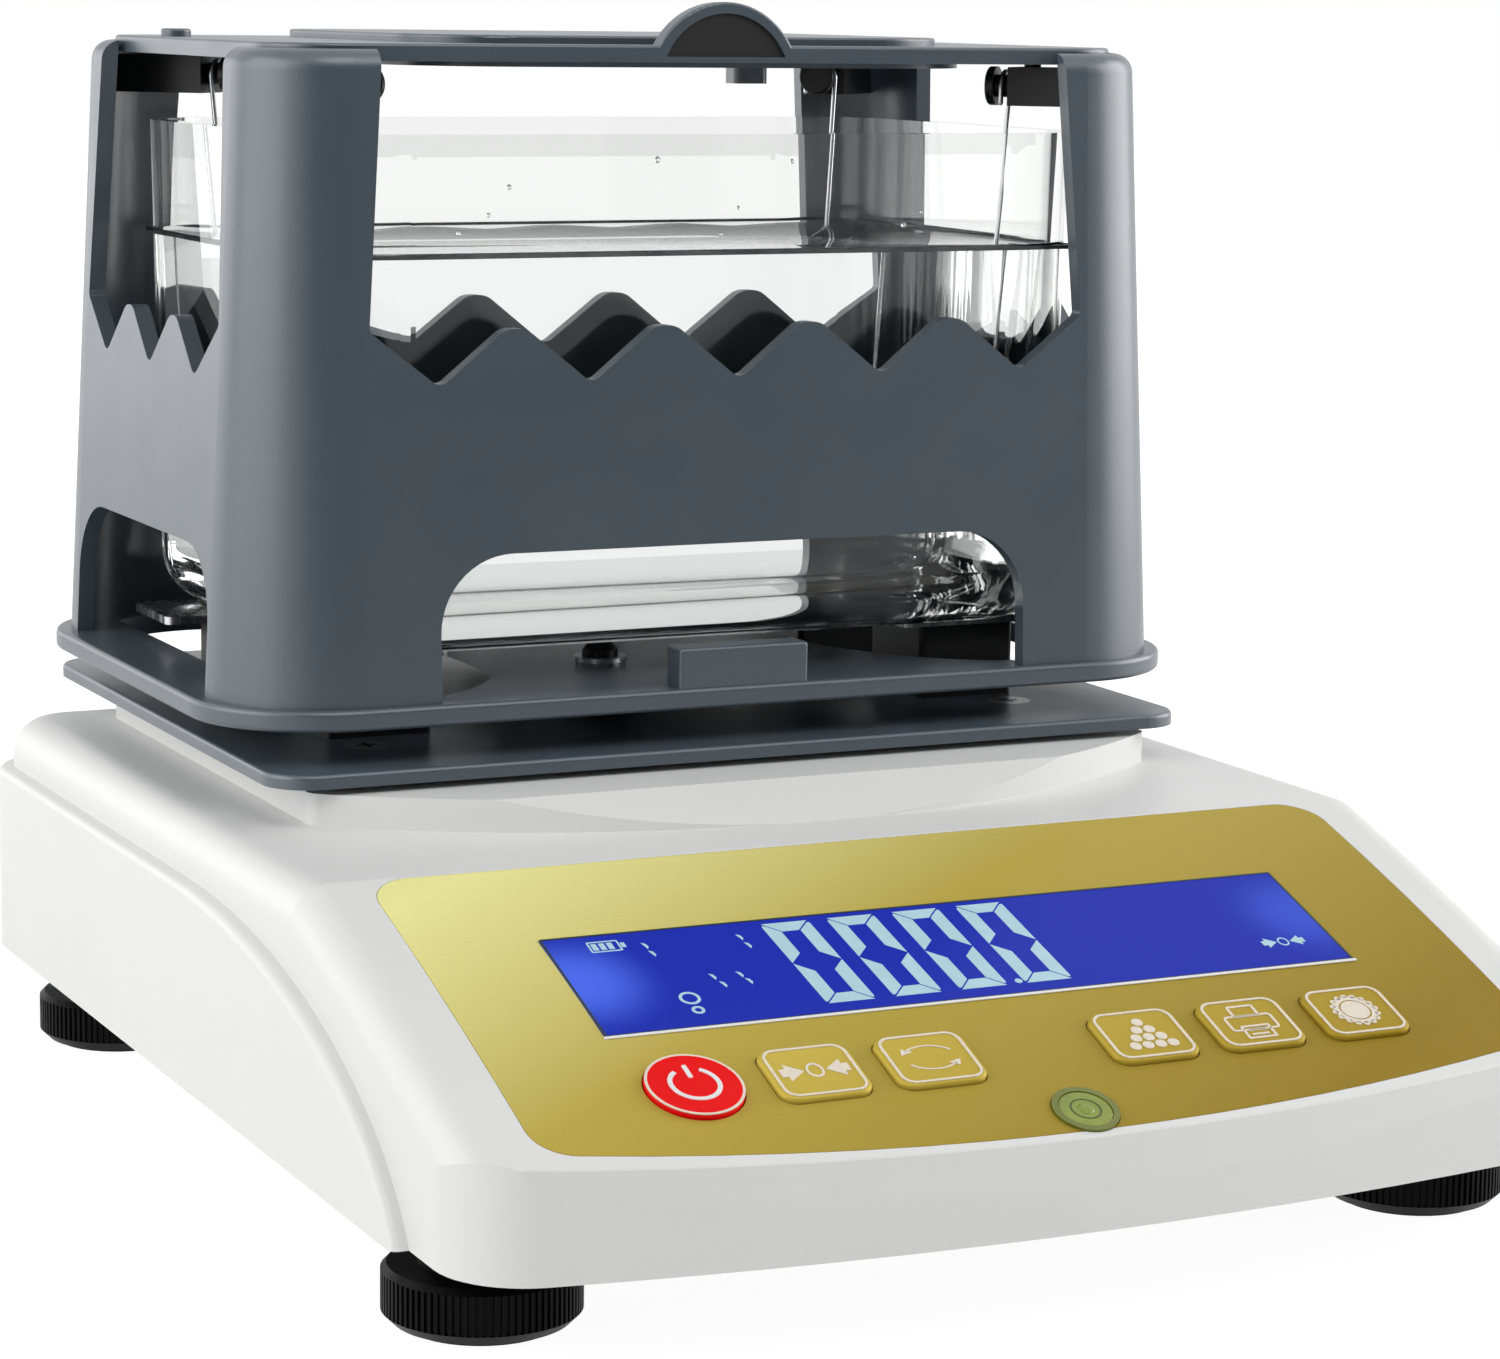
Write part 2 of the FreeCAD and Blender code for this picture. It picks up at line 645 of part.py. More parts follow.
def make_base_cover():
    outer = upper_body(0, base_floor_z)
    nose = edges_where(outer, lambda e: e.BoundBox.XLength > base_width / 2 and e.BoundBox.ZLength > 1e-3
                       and e.BoundBox.ZMin > panel_height(front_y) - OVERCUT and e.CenterOfMass.y < window_y)
    outer = outer.makeFillet(nose_radius, nose)
    outer = union([outer, skirt(), platform(0, deck_z - cover_wall, platform_top_z)])
    hollow = upper_body(cover_wall, base_floor_z - OVERCUT)
    raised = platform(cover_wall, deck_z - 2 * cover_wall, platform_top_z - cover_wall)
    cover = outer.cut(hollow).cut(raised)
    cover = cover.cut(panel_layer(-overlay_thickness, platform_top_z - window_z, overlay_gap))
    for tool in panel_openings(2 * cover_wall):
        cover = cover.cut(tool)
    additions = []
    within = upper_body(cover_wall / 2, base_floor_z)
    for x, y in cover_boss_places():
        boss = cylinder(cover_boss_diameter, tray_floor_top_z, deck_z, x, y)
        additions.append(boss.common(within))
    for x, y in plate_screw_places():
        additions.append(cylinder(plate_boss_diameter, platform_top_z - OVERCUT, stand_plate_bottom_z, x, y))
    cover = union([cover] + additions)
    for x, y in cover_boss_places():
        cover = cover.cut(cylinder(cover_screw_diameter, tray_floor_top_z - OVERCUT,
                                   tray_floor_top_z + cover_screw_hole, x, y))
    for x, y in plate_screw_places():
        cover = cover.cut(cylinder(plate_screw_diameter, platform_top_z - 2 * cover_wall,
                                   stand_plate_bottom_z + OVERCUT, x, y))
    cover = cover.cut(cylinder(post_hole_diameter, platform_top_z - 3 * cover_wall,
                               stand_plate_bottom_z, 0, rack_centre_y))
    jack_hole = Part.makeCylinder(jack_diameter / 2 + overlay_gap, 4 * cover_wall,
                                  V(jack_x, rear_y - 3 * cover_wall, jack_z), V(0, 1, 0))
    cover = cover.cut(jack_hole)
    cover = cover.cut(port_prism(overlay_gap, rear_y - 3 * cover_wall, rear_y + OVERCUT))
    keep("base_cover", cover)


# ================================================================ base tray and feet
def foot_places():
    return {"front_left": (-foot_x, foot_front_y), "front_right": (foot_x, foot_front_y),
            "rear_left": (-foot_x, foot_rear_y), "rear_right": (foot_x, foot_rear_y)}


def make_base_tray():
    inset = cover_wall + tray_edge_gap
    floor = body_plan(inset, base_floor_z, tray_floor_top_z)
    solids = [floor]
    for x, y in foot_places().values():
        solids.append(cylinder(foot_boss_diameter, base_floor_z, foot_boss_top_z, x, y))
    bx, by = board_centre
    for sx in (-1, 1):
        for sy in (-1, 1):
            x = bx + sx * (board_size[0] / 2 - standoff_diameter)
            y = by + sy * (board_size[1] / 2 - standoff_diameter)
            solids.append(cylinder(standoff_diameter, tray_floor_top_z - OVERCUT, board_z, x, y))
    x, y = battery_centre
    wide, deep, _ = battery_size
    half_x = wide / 2 + tray_edge_gap
    half_y = deep / 2 + tray_edge_gap
    rib_top_z = tray_floor_top_z + battery_rib_height
    frame = slab(half_x + battery_rib, half_y + battery_rib, battery_rib, (x, y), tray_floor_top_z - OVERCUT,
                 rib_top_z)
    solids.append(frame.cut(slab(half_x, half_y, 0, (x, y), tray_floor_top_z, rib_top_z + OVERCUT)))
    tray = union(solids)
    for x, y in foot_places().values():
        tray = tray.cut(cylinder(stud_diameter + 2.0, base_floor_z - OVERCUT, foot_boss_top_z + OVERCUT, x, y))
        tray = tray.cut(cylinder(insert_diameter, tray_floor_top_z, foot_boss_top_z + OVERCUT, x, y))
    for x, y in cover_boss_places():
        tray = tray.cut(cylinder(cover_screw_diameter + 0.6, base_floor_z - OVERCUT,
                                 tray_floor_top_z + OVERCUT, x, y))
    keep("base_tray", tray)


def make_base_screws():
    solids = []
    for x, y in cover_boss_places():
        shank = cylinder(cover_screw_diameter, base_floor_z, tray_floor_top_z + cover_screw_length, x, y)
        head = cylinder(cover_screw_head_diameter, base_floor_z - cover_screw_head_height, base_floor_z, x, y)
        solids.append(union([shank, head]))
    keep("base_screws", Part.makeCompound(solids))


def make_foot_inserts():
    solids = []
    for x, y in foot_places().values():
        body = cylinder(insert_diameter, tray_floor_top_z, foot_boss_top_z, x, y)
        bore = cylinder(stud_diameter, tray_floor_top_z - OVERCUT, foot_boss_top_z + OVERCUT, x, y)
        solids.append(body.cut(bore))
    keep("foot_inserts", Part.makeCompound(solids))


def make_feet():
    """Each foot: a rubber pad, and a thumb wheel with its threaded stud that turns on it."""
    outer = foot_diameter / 2
    hub_top = base_floor_z - foot_hub_gap
    pad_seat = foot_pad_thickness - foot_pad_recess
    for name, (x, y) in foot_places().items():
        pad = turned([(0, 0), (foot_pad_diameter / 2 - 0.4, 0), (foot_pad_diameter / 2, 0.4),
                      (foot_pad_diameter / 2, foot_pad_thickness), (0, foot_pad_thickness)], x, y)
        keep("foot_pad_" + name, pad)
        recess = foot_pad_diameter / 2 + 0.3
        top = foot_pad_thickness + thread_gap
        wheel = turned([(0, top), (recess, top), (recess, pad_seat), (outer - foot_lower_bevel, pad_seat),
                        (outer, pad_seat + foot_lower_bevel), (outer, foot_top_z - foot_upper_bevel),
                        (outer - foot_upper_bevel, foot_top_z), (foot_hub_diameter / 2 + 2.0, foot_top_z),
                        (foot_hub_diameter / 2, foot_top_z + 1.5), (foot_hub_diameter / 2, hub_top),
                        (stud_diameter / 2 - thread_gap, hub_top),
                        (stud_diameter / 2 - thread_gap, stud_top_z - 0.6),
                        (stud_diameter / 2 - 0.6, stud_top_z), (0, stud_top_z)], x, y)
        keep("foot_wheel_" + name, wheel)


# ================================================================ stand plate, supports and tank
def make_stand_plate():
    plate = slab(stand_plate_width / 2, stand_plate_depth / 2, stand_plate_corner_radius,
                 (0, rack_centre_y), stand_plate_bottom_z, stand_plate_top_z)
    top = edges_where(plate, lambda e: e.BoundBox.ZMin > stand_plate_top_z - 1e-3)
    plate = plate.makeFillet(0.8, top)
    plate = plate.cut(cylinder(post_hole_diameter, stand_plate_bottom_z - OVERCUT,
                               stand_plate_top_z + OVERCUT, 0, rack_centre_y))
    screws = []
    for x, y in plate_screw_places():
        sink = turned([(0, stand_plate_bottom_z - OVERCUT), (plate_screw_diameter / 2, stand_plate_bottom_z - OVERCUT),
                       (plate_screw_diameter / 2, stand_plate_bottom_z + 0.4),
                       (plate_screw_diameter, stand_plate_top_z), (0, stand_plate_top_z)], x, y)
        plate = plate.cut(sink)
        shank = cylinder(plate_screw_diameter, platform_top_z - cover_wall - 3.0, stand_plate_bottom_z, x, y)
        screws.append(union([sink, shank]))
    keep("stand_plate", plate)
    keep("stand_plate_screws", Part.makeCompound(screws))


def make_supports():
    for name, (sx, sy) in corner_signs().items():
        y = rack_centre_y + sy * block_y
        block = slab(block_width / 2, block_depth / 2, 1.0, (sx * block_x, y),
                     stand_plate_top_z, strip_bottom_z)
        keep("support_block_" + name, block)
        middle = sx * (strip_outer_x - strip_width / 2)
        strip = slab(strip_width / 2, block_depth / 2, 1.5, (middle, y), strip_bottom_z, tank_bottom_z)
        keep("support_strip_" + name, strip)


def tank_body(inset, z_low, z_high, floor_radius):
    """Tapered box with round corners and a round floor edge, drawn in by inset."""
    height = tank_rim_z - tank_bottom_z
    wires = []
    for z in (z_low, z_high):
        taper = tank_taper * (tank_rim_z - z) / height
        half_x = tank_rim_width / 2 - taper - inset
        half_y = tank_rim_depth / 2 - taper - inset
        radius = tank_corner_radius - taper - inset
        wires.append(outline(rectangle(half_x, half_y, radius, (0, rack_centre_y)), on_z(z)))
    solid = Part.makeLoft(wires, True, True)
    floor = edges_where(solid, lambda e: e.BoundBox.ZMax < z_low + 1e-3)
    return solid.makeFillet(floor_radius, floor)


def make_water_tank():
    outer = tank_body(0, tank_bottom_z, tank_rim_z, tank_floor_radius)
    inner = tank_body(tank_wall, tank_bottom_z + tank_wall, tank_rim_z + OVERCUT, tank_floor_radius - tank_wall)
    keep("water_tank", outer.cut(inner))


# ================================================================ rack
def make_rack_base():
    plate = slab(rack_width / 2, rack_depth / 2, rack_corner_radius, (0, rack_centre_y), rack_bottom_z, rack_top_z)
    rim = edges_where(plate, lambda e: e.BoundBox.ZLength < 1e-3)
    plate = plate.makeFillet(0.9, rim)
    for side in (-1, 1):
        oval = Part.Ellipse(V(0, 0, 0), opening_half_depth, opening_half_width).toShape()
        oval.rotate(V(0, 0, 0), UP, 90)
        oval.translate(V(side * opening_x, rack_centre_y, rack_bottom_z - OVERCUT))
        tool = Part.Face(Part.Wire([oval])).extrude(V(0, 0, rack_thickness + 2 * OVERCUT))
        limit = slab(opening_limit_x, rack_depth, 0, (0, rack_centre_y), rack_bottom_z - OVERCUT,
                     rack_top_z + OVERCUT)
        plate = plate.cut(tool.common(limit))
    for x, y in rack_screw_places():
        plate = plate.cut(cylinder(rack_screw_diameter, rack_bottom_z - OVERCUT, rack_top_z + OVERCUT, x, y))
    keep("rack_base", plate)


def rack_screw_places():
    return [(s * rack_screw_x, rack_centre_y + s * rack_screw_y) for s in (-1, 1)]


def make_rack_screws():
    screws = []
    washers = []
    top = rack_top_z + washer_thickness
    for x, y in rack_screw_places():
        head = turned([(0, top), (screw_head_diameter / 2, top),
                       (screw_head_diameter / 2, top + screw_head_height * 0.45),
                       (screw_head_diameter * 0.36, top + screw_head_height * 0.85),
                       (screw_head_diameter * 0.16, top + screw_head_height), (0, top + screw_head_height)], x, y)
        shank = cylinder(rack_screw_diameter, hub_bottom_z, top, x, y)
        screws.append(union([head, shank]))
        ring = cylinder(washer_diameter, rack_top_z, top, x, y)
        washers.append(ring.cut(cylinder(rack_screw_diameter, rack_top_z - OVERCUT, top + OVERCUT, x, y)))
    keep("rack_screws", Part.makeCompound(screws))
    keep("rack_washers", Part.makeCompound(washers))


def make_rack_hub():
    """Plate under the rack base that the load post carries."""
    hub = slab(hub_half_width, hub_half_depth, 6.0, (0, rack_centre_y), hub_bottom_z, rack_bottom_z)
    for x, y in rack_screw_places():
        hub = hub.cut(cylinder(rack_screw_diameter, hub_bottom_z - OVERCUT, rack_bottom_z + OVERCUT, x, y))
    keep("rack_hub", hub)


def make_rack_stop():
    y = rack_centre_y - rack_depth / 2 + 0.6 + rack_stop_depth / 2
    block = slab(rack_stop_width / 2, rack_stop_depth / 2, 0, (0, y), rack_top_z, rack_top_z + rack_stop_height)
    rim = edges_where(block, lambda e: e.BoundBox.ZMax > rack_top_z + OVERCUT)
    keep("rack_front_stop", block.makeFillet(0.7, rim))


def shell_half(z, inset):
    """Half width, half depth and corner radius of the drafted shell at a height."""
    lean = (z - rack_top_z) * math.tan(math.radians(shell_draft)) + inset
    return shell_width / 2 - lean, shell_depth / 2 - lean, shell_corner_radius - lean


def shell_body(inset, z_low, z_high):
    wires = []
    for z in (z_low, z_high):
        half_x, half_y, radius = shell_half(z, inset)
        wires.append(outline(rectangle(half_x, half_y, radius, (0, rack_centre_y)), on_z(z)))
    return Part.makeLoft(wires, True, True)


def zigzag(centre, pitch, valleys, top_z):
    """Outline of an upper opening: a toothed lower edge between two leaning posts."""
    half_span = (valleys - 1) * pitch / 2
    edge = half_span + end_rise
    corners = [(centre - edge, peak_z, 1.5)]
    for i in range(valleys):
        valley = centre - half_span + i * pitch
        corners.append((valley, valley_z, valley_radius))
        if i < valleys - 1:
            peak = valley + pitch / 2
            corners.append((peak - peak_flat / 2, peak_z, tooth_radius))
            corners.append((peak + peak_flat / 2, peak_z, tooth_radius))
    corners.append((centre + edge, peak_z, 1.5))
    corners.append((centre + edge - post_lean, top_z, 0))
    corners.append((centre - edge + post_lean, top_z, 0))
    return corners


def arch(centre, half_width):
    low = rack_top_z - OVERCUT
    return [(centre - half_width, low, 0), (centre + half_width, low, 0),
            (centre + half_width, arch_top_z, arch_radius), (centre - half_width, arch_top_z, arch_radius)]


def make_frame_shell():
    """Drafted shell standing on four corner posts, with toothed upper openings."""
    outer = shell_body(0, rack_top_z, shell_top_z)
    top = edges_where(outer, lambda e: e.BoundBox.ZMin > shell_top_z - 1e-3)
    outer = outer.makeFillet(shell_top_radius, top)
    shell = outer.cut(shell_body(shell_wall, rack_top_z - OVERCUT, shell_top_z + OVERCUT))
    top_z = shell_top_z + OVERCUT
    along_y = V(0, 2 * shell_depth, 0)
    along_x = V(2 * shell_width, 0, 0)
    y_start = rack_centre_y - shell_depth
    tools = [prism(arch(0, arch_half_width), on_y(y_start), along_y),
             prism(zigzag(0, front_pitch, front_valleys, top_z), on_y(y_start), along_y),
             prism(arch(rack_centre_y, side_arch_half_width), on_x(-shell_width), along_x),
             prism(zigzag(rack_centre_y, side_pitch, side_valleys, top_z), on_x(-shell_width), along_x)]
    for tool in tools:
        shell = shell.cut(tool)
    keep("frame_shell", shell)


def corner_signs():
    return {"front_left": (-1, -1), "front_right": (1, -1), "rear_left": (-1, 1), "rear_right": (1, 1)}


def make_hook_arms():
    """Black arm in each corner: a bar to the post, a grooved peg, and a pip under the tray."""
    cavity = shell_body(shell_wall, rack_top_z, shell_top_z)
    flange = peg_flange_thickness
    peg = flange + peg_groove_width
    for name, (sx, sy) in corner_signs().items():
        angle = math.degrees(math.atan2(sy, sx))
        flange_disc = Part.makeCylinder(peg_flange_diameter / 2, flange, V(0, 0, 0), V(1, 0, 0))
        rim = edges_where(flange_disc, lambda e: e.BoundBox.XMax < 1e-3)
        flange_disc = flange_disc.makeFillet(0.5, rim)
        neck = Part.makeCylinder(peg_groove_diameter / 2, peg_groove_width, V(flange, 0, 0), V(1, 0, 0))
        bar = Part.makeBox(arm_length, arm_width, arm_height, V(peg, -arm_width / 2, -arm_height / 2))
        pip_x = peg + arm_height / 2
        pip_top = tray_bottom_z - peg_z
        pip = Part.makeCylinder(pip_diameter / 2, pip_top - arm_height / 2 + 1.0,
                                V(pip_x, 0, arm_height / 2 - 1.0), UP)
        arm = union([flange_disc, neck, bar, pip])
        arm.rotate(V(0, 0, 0), UP, angle)
        arm.translate(V(sx * peg_x, rack_centre_y + sy * peg_y, peg_z))
        keep("hook_arm_" + name, arm.common(cavity))


# ================================================================ sample tray
def make_sample_tray():
    half_x, half_y, radius = shell_half(tray_bottom_z + tray_thickness, shell_wall + tray_gap)
    top = tray_bottom_z + tray_thickness
    plate = slab(half_x, half_y, radius, (0, rack_centre_y), tray_bottom_z, top)
    edge = edges_where(plate, lambda e: e.BoundBox.ZMin > top - 1e-3)
    plate = plate.makeFillet(0.6, edge)
    pan_x = tray_pan_width / 2
    pan_y = tray_pan_depth / 2
    pan = slab(pan_x, pan_y, tray_pan_corner, (0, rack_centre_y), top - OVERCUT, top + tray_pan_height)
    rim = edges_where(pan, lambda e: e.BoundBox.ZMin > top + tray_pan_height - 1e-3)
    pan = pan.makeFillet(0.5, rim)
    margin = tray_collar_margin
    collar = slab(pan_x + margin, pan_y + margin, tray_pan_corner + margin, (0, rack_centre_y),
                  tray_bottom_z - tray_collar_height, tray_bottom_z + OVERCUT)
    stud = cylinder(tray_stud_diameter, top - OVERCUT, top + tray_stud_height,
                    tray_stud_x, rack_centre_y + tray_stud_y)
    crown = edges_where(stud, lambda e: e.BoundBox.ZMin > top + tray_stud_height - 1e-3)
    stud = stud.makeFillet(0.5, crown)
    front = rack_centre_y - half_y
    tab_centre = V(0, front, tray_bottom_z + tab_rise - tab_radius)
    tab = Part.makeCylinder(tab_radius, tab_thickness, tab_centre, V(0, 1, 0))
    arc = edges_where(tab, lambda e: e.BoundBox.YLength < 1e-3)
    tab = tab.makeFillet(0.5, arc)
    above = slab(tab_radius, tab_thickness, 0, (0, front), tray_bottom_z, tray_bottom_z + 2 * tab_radius)
    tab = tab.common(above)
    recess = Part.makeCylinder(tab_radius - tab_rim, tab_inset_depth, tab_centre, V(0, 1, 0))
    recess = recess.common(slab(tab_radius, tab_thickness, 0, (0, front), tray_bottom_z + tab_inset_bottom,
                                tray_bottom_z + 2 * tab_radius))
    lug = slab(lug_width / 2, lug_depth / 2, 1.5, (lug_x, rack_centre_y + lug_y),
               tray_bottom_z - lug_height, tray_bottom_z + OVERCUT)
    keep("sample_tray", union([plate, pan, stud, collar, tab, lug]).cut(recess))
    inset = recess.copy()
    inset.translate(V(0, tab_inset_depth - tab_inset_thickness, 0))
    keep("tray_tab_inset", inset.common(recess))


# ================================================================ basket
def hanger_points(sx, sy):
    """Groove centre, hook side, top of the shank and foot of one hanging wire."""
    half = math.sqrt(0.5)
    groove_depth = peg_flange_thickness + peg_groove_width / 2
    groove = V(sx * (peg_x + half * groove_depth), rack_centre_y + sy * (peg_y + half * groove_depth),
               peg_z - hook_drop)
    side = V(sx * half, -sy * half, 0)
    shank_top = groove + side * hook_radius
    inward = V(-sx * hanger_side_lean, -sy * hanger_end_lean, 0)
    foot = V(shank_top.x, shank_top.y, dish_z - wire_diameter / 2) + inward
    return groove, side, shank_top, foot


def wire_rod(start, end):
    rod = Part.makeCylinder(wire_diameter / 2, (end - start).Length, start, end - start)
    return rod.fuse(Part.makeSphere(wire_diameter / 2, end))


def hanger_wire(sx, sy):
    groove, side, shank_top, foot = hanger_points(sx, sy)
    axis = side.cross(UP)
    ring = Part.Face(Part.Wire([Part.Circle(shank_top, UP, wire_diameter / 2).toShape()]))
    hook = ring.revolve(groove, axis, 180)
    tail_start = groove - side * hook_radius
    tail = wire_rod(tail_start, tail_start - V(0, 0, hook_tail))
    return [hook, tail, wire_rod(shank_top, foot), Part.makeSphere(wire_diameter / 2, shank_top)]


def make_basket():
    """Perforated dish on two bent wires, each hooked over a front and a rear peg."""
    feet = {}
    for side, sx in (("left", -1), ("right", 1)):
        pieces = []
        for sy in (-1, 1):
            pieces += hanger_wire(sx, sy)
            feet[(sx, sy)] = hanger_points(sx, sy)[3]
        pieces.append(wire_rod(feet[(sx, -1)], feet[(sx, 1)]))
        keep("basket_hanger_" + side, union(pieces))
    half_x = feet[(1, 1)].x + dish_margin
    half_y = feet[(1, 1)].y - rack_centre_y + dish_margin
    outer = slab(half_x, half_y, dish_corner_radius, (0, rack_centre_y), dish_z, dish_z + dish_height)
    inner = slab(half_x - dish_wall, half_y - dish_wall, dish_corner_radius - dish_wall, (0, rack_centre_y),
                 dish_z + dish_wall, dish_z + dish_height + OVERCUT)
    dish = outer.cut(inner)
    holes = []
    for column in range(dish_hole_columns):
        for row in range(dish_hole_rows):
            x = (column - (dish_hole_columns - 1) / 2) * dish_hole_pitch
            y = rack_centre_y + (row - (dish_hole_rows - 1) / 2) * dish_hole_pitch
            holes.append(cylinder(dish_hole_diameter, dish_z - OVERCUT, dish_z + 2 * dish_wall, x, y))
    dish = dish.cut(Part.makeCompound(holes))
    for sx in (-1, 1):
        for sy in (-1, 1):
            _, _, top, foot = hanger_points(sx, sy)
            slot = Part.makeCylinder(wire_diameter / 2 + hanger_groove_gap, (top - foot).Length, foot, top - foot)
            dish = dish.cut(slot.fuse(Part.makeSphere(wire_diameter / 2 + hanger_groove_gap, foot)))
    keep("basket_dish", dish)


# ================================================================ panel pieces
def make_panel():
    overlay = panel_layer(-overlay_thickness, 0, 0)
    for tool in panel_openings(2 * cover_wall):
        overlay = overlay.cut(tool)
    keep("panel_overlay", overlay)
    lens = slab(window_width / 2, window_height / 2, 0.6, (0, 0), -lens_thickness, 0)
    keep("lcd_window", on_panel(lens, 0, 0))
    half_x = window_width / 2 + module_margin
    half_y = window_height / 2 + module_margin
    block_top = -cover_wall - module_gap
    glass = slab(window_width / 2, window_height / 2, 0, (0, 0), block_top, -lens_thickness)
    block = slab(half_x, half_y, 1.0, (0, 0), -module_depth, block_top)
    board = slab(half_x + 4.0, half_y + 3.0, 1.0, (0, 0), -module_depth - key_board_thickness, -module_depth)
    keep("lcd_module", on_panel(union([glass, block, board]), 0, 0))


def make_keys():
    flange_top = -cover_wall - key_seat_gap
    flange_low = flange_top - key_flange_thickness
    solids = [slab(key_board_half_width, key_board_half_depth, 2.0, (0, 0),
                   -key_board_drop - key_board_thickness, -key_board_drop)]
    for name, x, round_key in key_positions():
        cap = key_prism(round_key, 0, flange_low, key_proud)
        rim = edges_where(cap, lambda e: e.BoundBox.ZMin > key_proud - 1e-3)
        cap = cap.makeFillet(key_proud * 0.7, rim)
        flange = key_prism(round_key, key_flange, flange_low, flange_top)
        stem = cylinder(key_stem_diameter, flange_low - key_stem_length, flange_low)
        keep(name, on_panel(union([cap, flange, stem]), x, key_slope))
        button_top = flange_low - key_stem_length - key_travel - key_gap
        solids.append(slab(switch_size / 2, switch_size / 2, 0.5, (x, 0), -key_board_drop,
                           button_top - switch_button_height))
        solids.append(cylinder(key_stem_diameter, -key_board_drop, button_top, x, 0))
    keep("key_board", on_panel(union(solids), 0, key_slope))


def make_level():
    radius = level_diameter / 2
    vial = cylinder(level_diameter - 2.0, -level_depth + 1.5, 0.3)
    cup = cylinder(level_diameter, -level_depth, 0.4)
    cup = cup.cut(cylinder(level_diameter - 2.0, -level_depth + 1.5, OVERCUT))
    rim = edges_where(vial, lambda e: e.BoundBox.ZMin > 0.29)
    vial = vial.makeFillet(radius * 0.05, rim)
    keep("level_housing", on_panel(cup, 0, level_slope))
    keep("level_vial", on_panel(vial, 0, level_slope))


# ================================================================ load path and electronics
def make_load_cell():
    """Single-point beam with two joined holes, clamped at its left end."""
    half = cell_length / 2
    y = rack_centre_y
    beam = Part.makeBox(cell_length, cell_width, cell_height, V(-half, y - cell_width / 2, cell_bottom_z))
    middle_z = cell_bottom_z + cell_height / 2
    for sx in (-1, 1):
        beam = beam.cut(Part.makeCylinder(cell_hole_diameter / 2, cell_width + 2 * OVERCUT,
                                          V(sx * cell_hole_spacing / 2, y - cell_width / 2 - OVERCUT, middle_z),
                                          V(0, 1, 0)))
    beam = beam.cut(Part.makeBox(cell_hole_spacing, cell_width + 2 * OVERCUT, cell_slot,
                                 V(-cell_hole_spacing / 2, y - cell_width / 2 - OVERCUT,
                                   middle_z - cell_slot / 2)))
    bolts = []
    fixed_x = -half + cell_end / 2
    free_x = half - cell_end / 2
    for sy in (-1, 1):
        bolt_y = y + sy * cell_width / 4
        beam = beam.cut(cylinder(cell_screw_diameter, cell_bottom_z - OVERCUT, cell_top_z + OVERCUT,
                                 fixed_x, bolt_y))
        shank = cylinder(cell_screw_diameter, tray_floor_top_z, cell_top_z, fixed_x, bolt_y)
        head = cylinder(cell_screw_diameter * 1.7, cell_top_z, cell_top_z + cell_screw_diameter * 0.7,
                        fixed_x, bolt_y)
        bolts.append(union([shank, head]))
    keep("load_cell", beam)
    keep("load_cell_screws", Part.makeCompound(bolts))
    mount = Part.makeBox(cell_end, cell_width, cell_bottom_z - tray_floor_top_z,
                         V(-half, y - cell_width / 2, tray_floor_top_z))
    for sy in (-1, 1):
        mount = mount.cut(cylinder(cell_screw_diameter, tray_floor_top_z - OVERCUT, cell_bottom_z + OVERCUT,
                                   fixed_x, y + sy * cell_width / 4))
    keep("load_cell_mount", mount)
    stop = cylinder(overload_diameter, tray_floor_top_z, cell_bottom_z - overload_gap, free_x, y)
    nut = prism([(1.9 * overload_diameter / 2 * math.cos(math.radians(60 * i)),
                  1.9 * overload_diameter / 2 * math.sin(math.radians(60 * i)), 0) for i in range(6)],
                on_z(tray_floor_top_z), V(0, 0, 3.0))
    nut.translate(V(free_x, y, 0))
    keep("overload_screw", union([stop, nut]))
    arm_low = cell_top_z + spider_boss
    boss = Part.makeBox(cell_end, cell_width, spider_boss, V(half - cell_end, y - cell_width / 2, cell_top_z))
    arm = slab((half + post_diameter) / 2, cell_width / 2, 3.0, ((half - post_diameter) / 2, y),
               arm_low, arm_low + spider_thickness)
    post = cylinder(post_diameter, arm_low, hub_bottom_z, 0, y)
    spider = union([boss, arm, post])
    caps = []
    for sy in (-1, 1):
        bolt_y = y + sy * cell_width / 4
        top = arm_low + spider_thickness
        sunk = cylinder(cell_screw_diameter, cell_top_z, top + OVERCUT, free_x, bolt_y)
        spider = spider.cut(sunk)
        caps.append(union([cylinder(cell_screw_diameter, cell_top_z, top, free_x, bolt_y),
                           cylinder(cell_screw_diameter * 1.7, top, top + 2.5, free_x, bolt_y)]))
    keep("load_spider", spider)
    keep("spider_screws", Part.makeCompound(caps))


